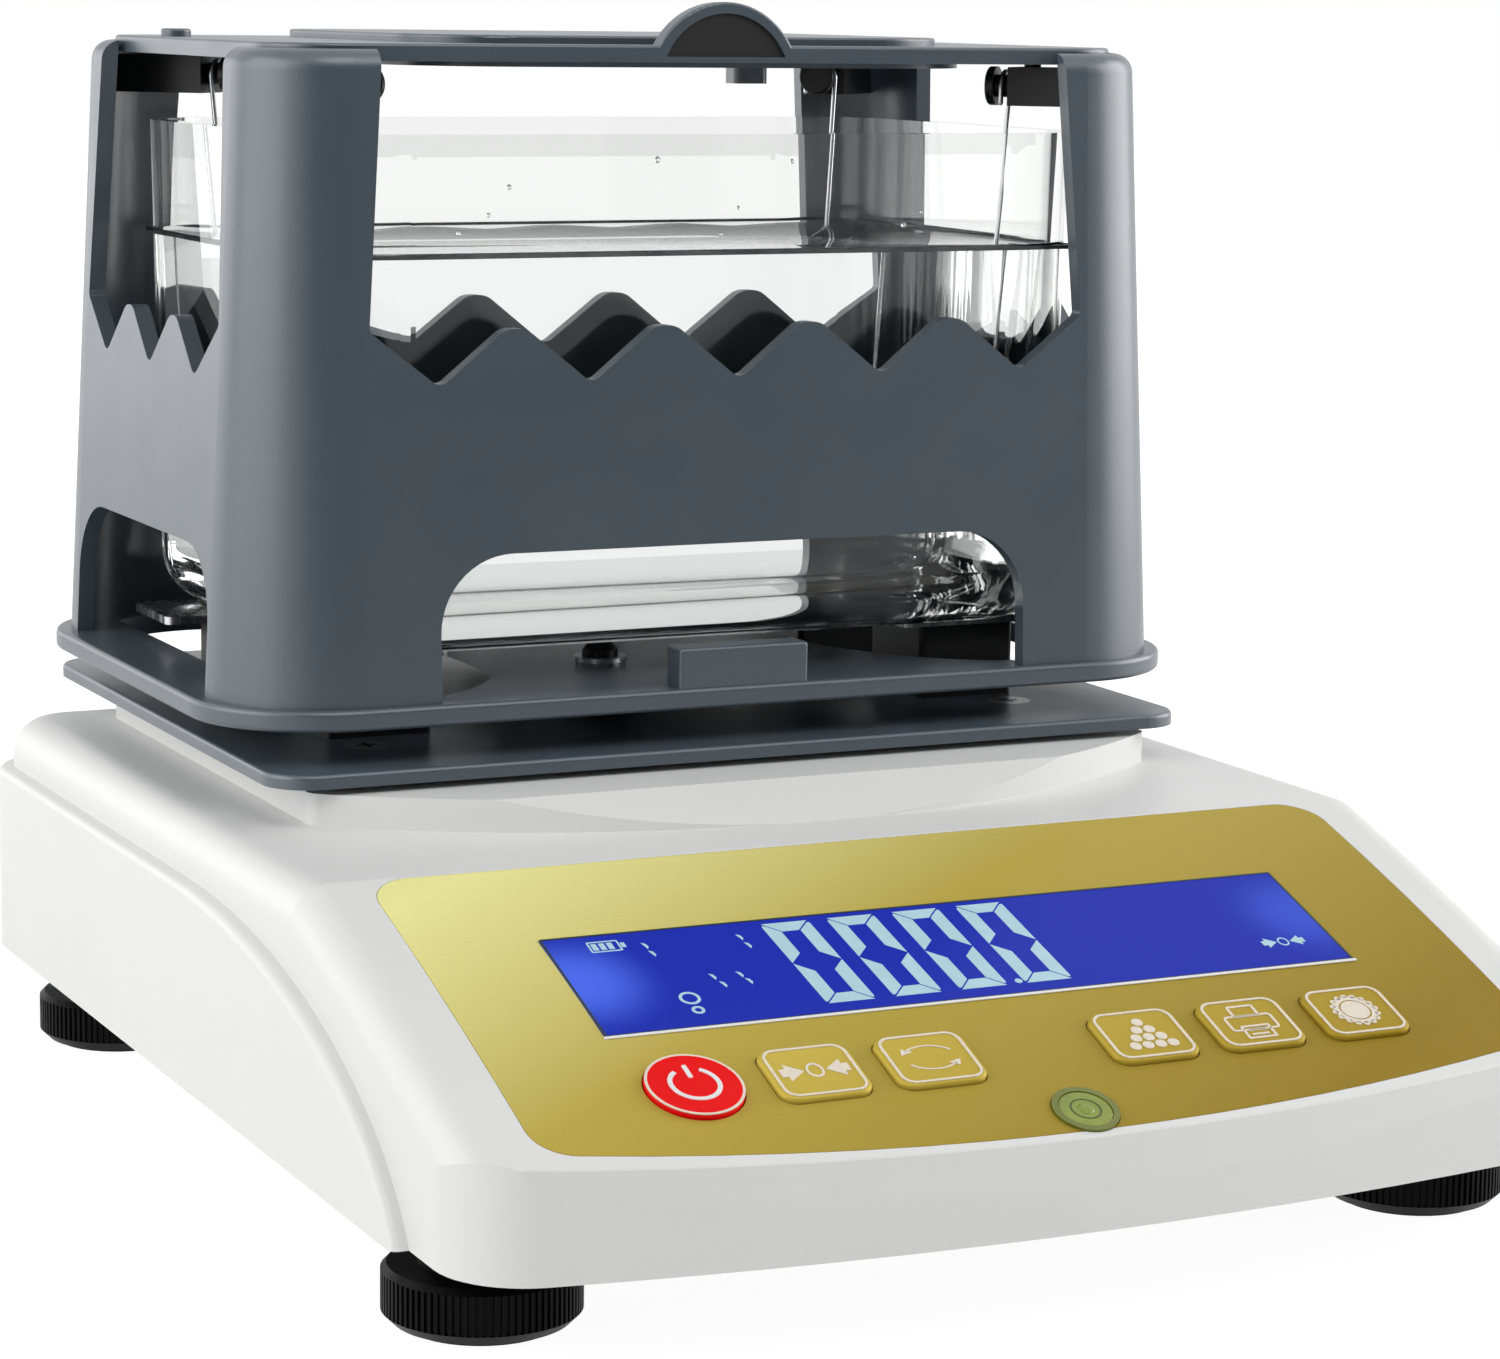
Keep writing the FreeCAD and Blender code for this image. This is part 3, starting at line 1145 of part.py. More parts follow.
def make_electronics():
    bx, by = board_centre
    wide, deep, thick = board_size
    board = slab(wide / 2, deep / 2, 2.0, (bx, by), board_z, board_z + thick)
    top = board_z + thick

    def chip(width, depth, height, place):
        return slab(width / 2, depth / 2, 0, (bx + place[0], by + place[1]), top, top + height)

    capacitor = cylinder(capacitor_diameter, top, top + capacitor_height, bx + capacitor_place[0],
                         by + capacitor_place[1])
    chips = [chip(processor_size, processor_size, chip_height, processor_place),
             chip(*converter_size, chip_height, converter_place),
             chip(*connector_size, connector_height, connector_place),
             capacitor]
    keep("main_board", union([board] + chips))
    x, y = battery_centre
    wide, deep, high = battery_size
    pack_top = tray_floor_top_z + high
    pack = slab(wide / 2, deep / 2, 2.0, (x, y), tray_floor_top_z, pack_top)
    lid = edges_where(pack, lambda e: e.BoundBox.ZMin > pack_top - 1e-3)
    pack = pack.makeFillet(1.0, lid)
    post_x, post_y, post_z = battery_post_size
    reach_x = wide / 2 - post_x
    reach_y = deep / 2 - post_x
    posts = [slab(post_x / 2, post_y / 2, 0, (x + side * reach_x, y - reach_y), pack_top - OVERCUT,
                  pack_top + post_z) for side in (-1, 1)]
    keep("battery", union([pack] + posts))


def make_rear_ports():
    inner_wall_y = body_rear_y - cover_wall
    barrel = Part.makeCylinder(jack_diameter / 2, rear_y - inner_wall_y - 0.5, V(jack_x, inner_wall_y, jack_z),
                               V(0, 1, 0))
    body = Part.makeBox(jack_diameter + 3.0, jack_depth, jack_diameter + 1.0,
                        V(jack_x - jack_diameter / 2 - 1.5, inner_wall_y - jack_depth,
                          jack_z - jack_diameter / 2 - 0.5))
    bore = Part.makeCylinder(jack_bore / 2, jack_depth, V(jack_x, rear_y - jack_depth, jack_z), V(0, 1, 0))
    pin_base = V(jack_x, rear_y - jack_depth - OVERCUT, jack_z)
    pin = Part.makeCylinder(1.0, jack_depth - 2.0, pin_base, V(0, 1, 0))
    keep("power_jack", union([barrel, body]).cut(bore).fuse(pin).removeSplitter())
    shell = port_prism(0, inner_wall_y, rear_y - 0.5)
    flange = Part.makeBox(port_width, port_depth, port_height,
                          V(port_x - port_width / 2, inner_wall_y - port_depth, port_z - port_height / 2))
    keep("serial_port", union([shell, flange]))


# ================================================================ build
make_base_cover()
make_base_tray()
make_base_screws()
make_foot_inserts()
make_feet()
make_stand_plate()
make_supports()
make_water_tank()
make_rack_base()
make_rack_screws()
make_rack_hub()
make_rack_stop()
make_frame_shell()
make_hook_arms()
make_sample_tray()
make_basket()
make_panel()
make_keys()
make_level()
make_load_cell()
make_electronics()
make_rear_ports()

os.makedirs("parts", exist_ok=True)
for node, shape in parts.items():
    shape.exportStep("parts/%s.step" % node)
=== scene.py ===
import math
import random

import bpy
from mathutils import Matrix, Vector


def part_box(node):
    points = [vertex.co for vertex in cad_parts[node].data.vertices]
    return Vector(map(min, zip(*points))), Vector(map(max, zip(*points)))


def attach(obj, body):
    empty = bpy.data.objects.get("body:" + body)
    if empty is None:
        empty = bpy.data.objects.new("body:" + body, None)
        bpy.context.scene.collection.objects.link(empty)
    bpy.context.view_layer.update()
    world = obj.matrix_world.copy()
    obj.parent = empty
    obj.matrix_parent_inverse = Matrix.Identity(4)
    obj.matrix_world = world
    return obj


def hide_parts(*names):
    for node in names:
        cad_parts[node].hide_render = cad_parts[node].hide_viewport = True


bl_info = {
    "name": "Density Meter Finish",
    "version": (1, 0, 0),
    "blender": (4, 5, 0),
    "location": "View3D > Sidebar > Density Meter",
    "description": ("Finishes, display, key marks, thumb wheels, water and studio "
                    "of a benchtop density meter"),
    "category": "Object",
}

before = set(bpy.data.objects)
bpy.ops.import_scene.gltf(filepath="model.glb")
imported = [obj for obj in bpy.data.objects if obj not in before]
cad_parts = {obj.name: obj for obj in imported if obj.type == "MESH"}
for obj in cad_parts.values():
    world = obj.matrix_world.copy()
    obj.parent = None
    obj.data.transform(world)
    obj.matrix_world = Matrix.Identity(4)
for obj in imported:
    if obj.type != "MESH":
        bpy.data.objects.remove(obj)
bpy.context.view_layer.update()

FULL_TURN = 2 * math.pi
LINE_HEIGHT = 0.00016   # of a key's raised line; the power key's lies this much deeper
WELD = 1e-6             # points closer than this are one point
NEAR = 1e-5             # slack when faces are picked by their height
TALL = 0.001            # an upright edge longer than this can be rounded
CORNERS = ("front_left", "front_right", "rear_left", "rear_right")
KEYS = ("power_key", "zero_key", "mode_key", "enter_key", "print_key", "setup_key")
GOLD_SHADE_SLOPE = 1.8        # how much faster the painted shade on the gold darkens down the panel than across it
WHITE = (1.0, 1.0, 1.0, 1.0)


# ------------------------ settings
def length(name, default, description, precision=5):
    """A length in metres that the sidebar shows."""
    return bpy.props.FloatProperty(name=name, description=description, default=default,
                                   subtype="DISTANCE", unit="LENGTH", precision=precision)


def colour(name, default, description):
    """A colour that the sidebar shows."""
    return bpy.props.FloatVectorProperty(name=name, description=description, subtype="COLOR",
                                         size=3, default=default, min=0.0, max=1.0)


class MeterPanelSettings(bpy.types.PropertyGroup):
    """The sloping panel and what is printed on it."""

    tilt: bpy.props.FloatProperty(
        name="Tilt", description="Slope of the panel at the middle of the display",
        default=math.radians(19.25), subtype="ANGLE", unit="ROTATION")
    crown: length("Crown radius", 0.8, "Front to back curve of the panel", 2)
    middle_y: length("Middle Y", -0.07835, "Middle of the display, front to back")
    middle_z: length("Middle Z", 0.0473, "Middle of the display above the bench")
    key_row: length("Key row", -0.0281, "Key row, down the slope from the middle of the display")
    level_row: length("Level row", -0.0434,
                      "Round level, down the slope from the middle of the display")
    mark_height: length("Mark height", 0.00012, "How far a printed mark stands on its key", 6)
    key_crown: length("Key height", 0.0009, "Top of a key above the panel")


class MeterDisplaySettings(bpy.types.PropertyGroup):
    """Digits and small marks of the display."""

    digit_width: length("Digit width", 0.0083, "Width of a digit over its strokes")
    digit_height: length("Digit height", 0.0231, "Height of a digit over its strokes")
    digit_pitch: length("Digit pitch", 0.0114, "Distance from one digit to the next")
    first_digit: length("First digit", -0.02395, "Middle of the leftmost digit")
    digit_middle: length("Digit middle", 0.00065, "Middle of the digits, up the slope")
    stroke: length("Stroke", 0.0025, "Width of a stroke")
    slant: bpy.props.FloatProperty(
        name="Slant", description="How far a digit's top leans to the left, per height",
        default=0.046)


class MeterFootSettings(bpy.types.PropertyGroup):
    """Thumb wheels of the levelling feet."""

    ribs: bpy.props.IntProperty(
        name="Ribs", description="Grip ribs round a thumb wheel", default=84, min=12, max=120)
    rib_depth: length("Rib depth", 0.00042, "Depth of the grooves between the ribs")


class MeterBasketSettings(bpy.types.PropertyGroup):
    """Wires of the hanging basket."""

    thinner: length("Thinner by", 0.00025, "How much a wire's radius is less than its solid's")


class MeterWaterSettings(bpy.types.PropertyGroup):
    """Water in the tank."""

    level: length("Water level", 0.1495, "Height of the water's surface above the bench")
    meniscus: length("Meniscus", 0.0009, "How far the water climbs at the tank's wall")
    droplets: bpy.props.IntProperty(
        name="Droplets", description="Small drops on the inside of the wall above the water",
        default=9, min=0, max=60)


class MeterColourSettings(bpy.types.PropertyGroup):
    """Colours of the finishes."""

    cover: colour("Cover", (0.79, 0.79, 0.78), "White moulded cover")
    slate: colour("Slate", (0.060, 0.083, 0.104), "Grey moulded rack and tray")
    black: colour("Black", (0.005, 0.005, 0.006), "Black moulded parts")
    # The three gold colours make a painted gradient of light and shade: painted light at the
    # sheet's left end, painted shade at its right end.
    gold_left: colour("Gold left", (1.0, 0.96, 0.40), "Satin panel sheet at its left end")
    gold_middle: colour("Gold middle", (0.54, 0.42, 0.072), "Satin panel sheet in its middle")
    gold_right: colour("Gold right", (0.305, 0.205, 0.012), "Satin panel sheet at its right end")
    display: colour("Display", (0.012, 0.024, 0.33), "Lit display")
    display_glow: colour("Display glow", (0.07, 0.14, 0.74), "Display next to its lamps")
    digit: colour("Digit", (0.36, 0.54, 0.61), "Lit digits")
    power: colour("Power key", (0.88, 0.003, 0.004), "Red power key")
    mark: colour("Marks", (0.82, 0.74, 0.62), "Pale marks printed on the keys")


SETTINGS = {
    "meter_panel": MeterPanelSettings, "meter_display": MeterDisplaySettings,
    "meter_feet": MeterFootSettings, "meter_basket": MeterBasketSettings,
    "meter_water": MeterWaterSettings, "meter_colours": MeterColourSettings,
}


# ------------------------ modelling helpers
def start_clean():
    """Object mode with nothing selected."""
    if bpy.context.object and bpy.context.object.mode != "OBJECT":
        bpy.ops.object.mode_set(mode="OBJECT")
    bpy.ops.object.select_all(action="DESELECT")


def take(*pieces):
    """Object mode with only these pieces selected, the first of them active."""
    start_clean()
    for piece in pieces:
        piece.select_set(True)
    bpy.context.view_layer.objects.active = pieces[0]


def apply_place():
    """Leaves the active piece's place, turn and scale in its mesh."""
    bpy.ops.object.transform_apply(location=True, rotation=True, scale=True)


def pick(piece, faces=None, edges=None, points=None):
    """Edit mode, with only the faces, edges or points selected that pass the test."""
    bpy.context.view_layer.objects.active = piece
    bpy.ops.object.mode_set(mode="EDIT")
    bpy.ops.mesh.select_mode(type="FACE" if faces else "EDGE" if edges else "VERT")
    bpy.ops.mesh.select_all(action="DESELECT")
    bpy.ops.object.mode_set(mode="OBJECT")
    mesh = piece.data
    if faces:
        for face in mesh.polygons:
            face.select = faces(face.center, face.normal)
    if edges:
        for edge in mesh.edges:
            first, second = [mesh.vertices[i].co for i in edge.vertices]
            edge.select = edges(first, second)
    if points:
        for point in mesh.vertices:
            point.select = points(point.co)
    bpy.ops.object.mode_set(mode="EDIT")


def pick_all_faces(piece):
    pick(piece, faces=lambda centre, normal: True)


def raise_faces(height):
    """Extrudes the selected faces straight up."""
    bpy.ops.mesh.extrude_region_move(TRANSFORM_OT_translate={"value": (0, 0, height)})


def face_outward():
    """Turns every face of the piece in edit mode outward."""
    bpy.ops.mesh.select_all(action="SELECT")
    bpy.ops.mesh.normals_make_consistent(inside=False)


def leave_edit():
    bpy.ops.object.mode_set(mode="OBJECT")


def move(x=0.0, y=0.0, z=0.0):
    return Matrix.Translation((x, y, z))


def turn(angle, axis="Z"):
    return Matrix.Rotation(angle, 4, axis)


def put(piece, place):
    """Moves a piece to its place and leaves that place in its mesh."""
    take(piece)
    piece.matrix_world = place @ piece.matrix_world
    apply_place()


def copy_to(piece, place):
    """A copy with its own mesh, at another place."""
    take(piece)
    bpy.ops.object.duplicate(linked=False)
    twin = bpy.context.object
    put(twin, place)
    return twin


def discard(piece):
    """Deletes a piece that was only a pattern for its copies."""
    take(piece)
    bpy.ops.object.delete()


def join(pieces):
    take(*pieces)
    if len(pieces) > 1:
        bpy.ops.object.join()
    return bpy.context.object


def round_over(piece, width):
    """Bevels a piece's crisp edges and applies the bevel."""
    take(piece)
    bevel = piece.modifiers.new("round_over", "BEVEL")
    bevel.width = width
    bevel.segments = 2
    bevel.limit_method = "ANGLE"
    bevel.angle_limit = math.radians(40)
    bpy.ops.object.modifier_apply(modifier=bevel.name)


def smooth(piece, angle=35):
    take(piece)
    bpy.ops.object.shade_smooth_by_angle(angle=math.radians(angle))


def complete(piece, name, body, material):
    """Names a finished piece, paints it and makes it ride on its body."""
    piece.name = name
    piece.data.name = name
    piece.data.materials.clear()
    piece.data.materials.append(material)
    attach(piece, body)


# ------------------------ flat marks
def square(size=1.0):
    """Square plane round the origin."""
    start_clean()
    bpy.ops.mesh.primitive_plane_add(size=size, location=(0, 0, 0))
    return bpy.context.object


def flat_sheet(width, height, middle, corner=0.0, segments=5):
    """Rectangle on the local XY plane, its corners rounded if asked."""
    piece = square()
    piece.scale = (width, height, 1.0)
    piece.location = (middle[0], middle[1], 0.0)
    apply_place()
    if corner > 0:
        pick(piece, points=lambda p: True)
        bpy.ops.mesh.bevel(offset=corner, segments=segments, affect="VERTICES")
    pick_all_faces(piece)
    return piece


def plate(width, height, thickness, corner=0.0, middle=(0.0, 0.0)):
    """Rectangular plate, standing on the local XY plane."""
    piece = flat_sheet(width, height, middle, corner)
    raise_faces(thickness)
    leave_edit()
    return piece


def border(width, height, line, thickness, corner, middle=(0.0, 0.0)):
    """Rounded rectangle drawn as a line of even width."""
    piece = flat_sheet(width, height, middle, corner, segments=6)
    bpy.ops.mesh.inset(thickness=line)
    bpy.ops.mesh.delete(type="FACE")
    pick_all_faces(piece)
    raise_faces(thickness)
    leave_edit()
    return piece


def disc(radius, thickness, middle=(0.0, 0.0), sides=32):
    start_clean()
    bpy.ops.mesh.primitive_cylinder_add(vertices=sides, radius=radius, depth=thickness,
                                        location=(middle[0], middle[1], thickness / 2))
    apply_place()
    return bpy.context.object


def arc_line(radius, line, thickness, start, sweep, middle=(0.0, 0.0), steps=28):
    """Part of a ring, spun from a short line."""
    piece = square()
    pick(piece, points=lambda p: p.y > 0)
    bpy.ops.mesh.delete(type="VERT")
    leave_edit()
    piece.scale = (line, 1.0, 1.0)
    piece.location = (radius, 0.5, 0.0)
    apply_place()
    put(piece, turn(start))
    pick(piece, edges=lambda a, b: True)
    bpy.ops.mesh.spin(steps=steps, angle=-sweep, center=(0, 0, 0), axis=(0, 0, 1))
    bpy.ops.mesh.select_mode(type="FACE")
    bpy.ops.mesh.select_all(action="SELECT")
    bpy.ops.mesh.remove_doubles(threshold=WELD)
    raise_faces(thickness)
    face_outward()
    leave_edit()
    put(piece, move(*middle))
    return piece


def ring_line(radius, line, thickness, steps, middle=(0.0, 0.0)):
    """Whole ring."""
    return arc_line(radius, line, thickness, 0.0, FULL_TURN, middle, steps)


def triangle(length_along, width, thickness, angle, tip):
    """Arrow head whose tip is at a point, pointing along an angle."""
    start_clean()
    bpy.ops.mesh.primitive_circle_add(vertices=3, radius=1.0, fill_type="NGON",
                                      location=(0, 0, 0), rotation=(0, 0, -math.pi / 2))
    piece = bpy.context.object
    apply_place()
    unit_height, unit_side = 1.5, math.sqrt(3)      # of a triangle in a circle of radius 1
    piece.scale = (length_along / unit_height, width / unit_side, 1.0)
    piece.location = (-length_along / unit_height, 0.0, 0.0)
    apply_place()
    pick_all_faces(piece)
    raise_faces(thickness)
    face_outward()
    leave_edit()
    put(piece, move(*tip) @ turn(angle))
    return piece


def stroke_bar(length_along, width, thickness, angle, middle, soft_end=0):
    """Display stroke: a bar mitred at both ends, its long edge on local +Y.

    One outer corner is cut if asked: -1 for the left one, 1 for the right one.
    """
    piece = plate(length_along, width, thickness)
    for side in (-1, 1):
        pick(piece, points=lambda p: p.x * side > 0 and p.y < 0)
        bpy.ops.transform.translate(value=(-side * width, 0, 0))
        leave_edit()
    if soft_end:
        pick(piece, edges=lambda a, b: (abs(a.z - b.z) > WELD and a.y > 0
                                        and a.x * soft_end > 0))
        bpy.ops.mesh.bevel(offset=width * 0.3, segments=2, affect="EDGES")
        leave_edit()
    put(piece, move(*middle) @ turn(angle))
    return piece


# ------------------------ places
def panel_place(across, slope, lift=0.0):
    """Place on the panel: local X right, local Y up the slope, local Z out of it."""
    panel = bpy.context.scene.meter_panel
    centre_y = panel.middle_y + panel.crown * math.sin(panel.tilt)
    centre_z = panel.middle_z - panel.crown * math.cos(panel.tilt)
    tilt = panel.tilt - slope / panel.crown
    reach = panel.crown + lift
    return move(across, centre_y - reach * math.sin(tilt),
                centre_z + reach * math.cos(tilt)) @ turn(tilt, "X")


def middle_of(node):
    low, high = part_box(node)
    return (low + high) / 2


# ------------------------ finishes
class Finish:
    """Material with its shader, and texture coordinates in metres."""

    def __init__(self, name):
        self.material = bpy.data.materials.new(name)
        self.material.use_nodes = True
        self.nodes = self.material.node_tree.nodes
        self.links = self.material.node_tree.links
        self.shader = self.nodes["Principled BSDF"]
        self.metres = self.nodes.new("ShaderNodeTexCoord").outputs["Object"]

    def set(self, **values):
        """Constants on the shader's sockets, their names in lower case with underscores."""
        for socket in self.shader.inputs:
            key = socket.name.lower().replace(" ", "_")
            if key in values:
                socket.default_value = values[key]

    def drive(self, socket, value):
        self.links.new(value, self.shader.inputs[socket])

    def noise(self, scale, detail=3.0, stretch=(1.0, 1.0, 1.0), roughness=0.5):
        mapping = self.nodes.new("ShaderNodeMapping")
        mapping.inputs["Scale"].default_value = stretch
        self.links.new(self.metres, mapping.inputs["Vector"])
        noise = self.nodes.new("ShaderNodeTexNoise")
        noise.inputs["Scale"].default_value = scale
        noise.inputs["Detail"].default_value = detail
        noise.inputs["Roughness"].default_value = roughness
        self.links.new(mapping.outputs["Vector"], noise.inputs["Vector"])
        return noise.outputs["Fac"]

    def spread(self, value, low, high, start=0.3, end=0.7, curve="LINEAR"):
        """Maps a value, by default the usual span of a noise, to a range."""
        return map_range(self.material.node_tree, value, start, end, low, high, curve)

    def reckon(self, operation, first, second=None):
        return math_node(self.material.node_tree, operation, first, second)

    def blend(self, factor, first, second):
        """Blends two colours."""
        mix = self.nodes.new("ShaderNodeMix")
        mix.data_type = "RGBA"
        mix.inputs[6].default_value = (*first, 1.0)
        mix.inputs[7].default_value = (*second, 1.0)
        self.links.new(factor, mix.inputs["Factor"])
        return mix.outputs[2]

    def mottle(self, noise, tone, dark, light):
        """A colour that a noise makes darker and lighter by these factors."""
        return self.blend(self.spread(noise, 0.0, 1.0), shade(tone, dark), shade(tone, light))

    def bump(self, value, strength, depth):
        bump = self.nodes.new("ShaderNodeBump")
        bump.inputs["Strength"].default_value = strength
        bump.inputs["Distance"].default_value = depth
        self.links.new(value, bump.inputs["Height"])
        self.drive("Normal", bump.outputs["Normal"])


def map_range(tree, value, start, end, low, high, curve="LINEAR"):
    span = tree.nodes.new("ShaderNodeMapRange")
    span.interpolation_type = curve
    span.inputs["From Min"].default_value = start
    span.inputs["From Max"].default_value = end
    span.inputs["To Min"].default_value = low
    span.inputs["To Max"].default_value = high
    tree.links.new(value, span.inputs["Value"])
    return span.outputs["Result"]


def math_node(tree, operation, first, second=None):
    """One step of arithmetic on an output, with a second output or a number."""
    node = tree.nodes.new("ShaderNodeMath")
    node.operation = operation
    tree.links.new(first, node.inputs[0])
    if isinstance(second, bpy.types.NodeSocket):
        tree.links.new(second, node.inputs[1])
    elif second is not None:
        node.inputs[1].default_value = second
    return node.outputs["Value"]


def shade(tone, factor):
    return tuple(min(1.0, channel * factor) for channel in tone)


def moulded_plastic(finish, tone, rough, grain_depth, variation=0.06, gloss=0.5):
    """Moulded plastic: fine spark grain, slow tone and gloss changes from handling."""
    slow = finish.noise(22.0, detail=4.0)
    finish.drive("Base Color", finish.mottle(slow, tone, 1 - variation, 1 + variation))
    handling = finish.noise(60.0, detail=5.0)
    finish.drive("Roughness", finish.spread(handling, rough - 0.02, rough + 0.03))
    finish.set(specular_ior_level=gloss)
    finish.bump(finish.noise(2600.0, detail=2.0), 0.35, grain_depth)


def satin_gold(finish, tones, light, start, end):
    """Gold sheet with a fine satin grain and painted light and shade: paler towards its upper left
    corner, darker towards its lower right.
    """
    nodes, links = finish.nodes, finish.links
    along = nodes.new("ShaderNodeVectorMath")
    along.operation = "DOT_PRODUCT"
    along.inputs[1].default_value = (1.0, -GOLD_SHADE_SLOPE, 0.0)
    links.new(finish.metres, along.inputs[0])
    # Painted shade grows to the right and down the panel.
    share = finish.spread(along.outputs["Value"], 0.0, 1.0, start, end)
    ramp = nodes.new("ShaderNodeValToRGB")
    stops = ramp.color_ramp.elements
    stops.new(0.40)
    for stop, position, tone in zip(stops, (0.06, 0.40, 0.86), tones):
        stop.position = position
        stop.color = (*shade(tone, light), 1.0)
    links.new(share, ramp.inputs["Fac"])
    grain = finish.noise(2400.0, stretch=(0.4, 1.0, 1.0), roughness=0.7)
    darker = nodes.new("ShaderNodeMix")
    darker.data_type = "RGBA"
    darker.blend_type = "MULTIPLY"
    darker.inputs["Factor"].default_value = 1.0
    links.new(ramp.outputs["Color"], darker.inputs[6])
    tint = finish.blend(finish.spread(grain, 0.0, 1.0, 0.25, 0.75),
                        (0.92, 0.92, 0.92), (1.0, 1.0, 1.0))
    links.new(tint, darker.inputs[7])
    finish.drive("Base Color", darker.outputs[2])
    finish.drive("Roughness", finish.spread(grain, 0.42, 0.56))
    finish.set(metallic=0.2, specular_ior_level=0.15)
    finish.bump(grain, 0.2, 0.00002)


def lit_display(finish, tone, glow, left, right):
    """Blue lit display, brighter next to the lamps at its two ends."""
    near = []
    lamp_edge, lamp_reach = 0.001, 0.016
    for lamp, power in ((left, 0.8), (right, 0.4)):
        distance = finish.nodes.new("ShaderNodeVectorMath")
        distance.operation = "DISTANCE"
        distance.inputs[1].default_value = lamp
        finish.links.new(finish.metres, distance.inputs[0])
        near.append(finish.spread(distance.outputs["Value"], power, 0.0,
                                  lamp_edge, lamp_reach, "SMOOTHERSTEP"))
    lit = finish.blend(finish.reckon("MAXIMUM", *near), tone, glow)
    finish.drive("Base Color", lit)
    finish.drive("Emission Color", lit)
    finish.set(emission_strength=0.36, specular_ior_level=0.05)
    cells = finish.noise(900.0, detail=1.0)
    finish.drive("Roughness", finish.spread(cells, 0.16, 0.22))


def glowing_mark(finish, tone, strength):
    lit = finish.mottle(finish.noise(350.0), tone, 0.95, 1.05)
    finish.drive("Base Color", lit)
    finish.drive("Emission Color", lit)
    finish.set(emission_strength=strength, roughness=0.4)


def printed_mark(finish, tone):
    """Screen print: slightly rough and uneven."""
    ink = finish.noise(1800.0, detail=2.0)
    finish.drive("Base Color", finish.mottle(ink, tone, 0.93, 1.05))
    finish.drive("Roughness", finish.spread(ink, 0.38, 0.55))


def worked_metal(finish, tone, rough, grain=(1.0, 1.0, 0.06)):
    """Metal with a drawn or turned grain and faint wear."""
    lines = finish.noise(700.0, detail=4.0, stretch=grain, roughness=0.65)
    wear = finish.noise(70.0, detail=5.0)
    finish.drive("Base Color", finish.mottle(wear, tone, 0.88, 1.06))
    finish.drive("Roughness", finish.spread(lines, rough - 0.07, rough + 0.10))
    finish.set(metallic=1.0)
    finish.bump(lines, 0.2, 0.00003)


def threaded_black(finish, tone, thread_from, pitch):
    """Black moulding whose stud, above a height, shows a fine thread."""
    handling = finish.noise(90.0, detail=4.0)
    finish.drive("Base Color", finish.mottle(handling, tone, 0.35, 0.7))
    finish.drive("Roughness", finish.spread(handling, 0.34, 0.5))
    finish.set(specular_ior_level=0.09)
    split = finish.nodes.new("ShaderNodeSeparateXYZ")
    finish.links.new(finish.metres, split.inputs["Vector"])
    ridge = finish.reckon("SINE", finish.reckon("MULTIPLY", split.outputs["Z"], FULL_TURN / pitch))
    above = finish.reckon("GREATER_THAN", split.outputs["Z"], thread_from)
    finish.bump(finish.reckon("MULTIPLY", ridge, above), 0.8, 0.0003)


def clear_wall(finish, tone, refraction, haze, gloss):
    """Clear cast wall or water, with faint unevenness."""
    finish.set(base_color=(*tone, 1.0), transmission_weight=1.0, ior=refraction,
               specular_ior_level=gloss)
    finish.drive("Roughness", finish.spread(finish.noise(30.0), 0.0, haze))
    finish.bump(finish.noise(18.0, detail=1.0), 0.02, 0.0002)


def painted_meniscus_shade(finish, tone):
    """Painted shade: a dark line standing in for the darkness that the water's surface shows where
    it climbs the wall.
    """
    uneven = finish.noise(120.0, detail=2.0)
    finish.drive("Base Color", finish.mottle(uneven, tone, 0.6, 2.4))
    finish.drive("Roughness", finish.spread(uneven, 0.04, 0.12))


def circuit_board(finish):
    """Green lacquered board with fine copper tracks under the lacquer."""
    tracks = finish.nodes.new("ShaderNodeTexBrick")
    for socket, value in (("Scale", 160.0), ("Mortar Size", 0.08),
                          ("Color1", (0.010, 0.11, 0.035, 1.0)),
                          ("Color2", (0.014, 0.14, 0.045, 1.0)),
                          ("Mortar", (0.030, 0.22, 0.070, 1.0))):
        tracks.inputs[socket].default_value = value
    finish.links.new(finish.metres, tracks.inputs["Vector"])
    finish.drive("Base Color", tracks.outputs["Color"])
    finish.drive("Roughness", finish.spread(finish.noise(120.0), 0.25, 0.4))


def level_liquid(finish):
    """Green liquid of the round level, seen through its lens."""
    depth = finish.spread(finish.noise(160.0), 0.0, 1.0)
    finish.drive("Base Color", finish.blend(depth, (0.19, 0.25, 0.008), (0.29, 0.36, 0.014)))
    finish.set(roughness=0.08, coat_weight=0.3)


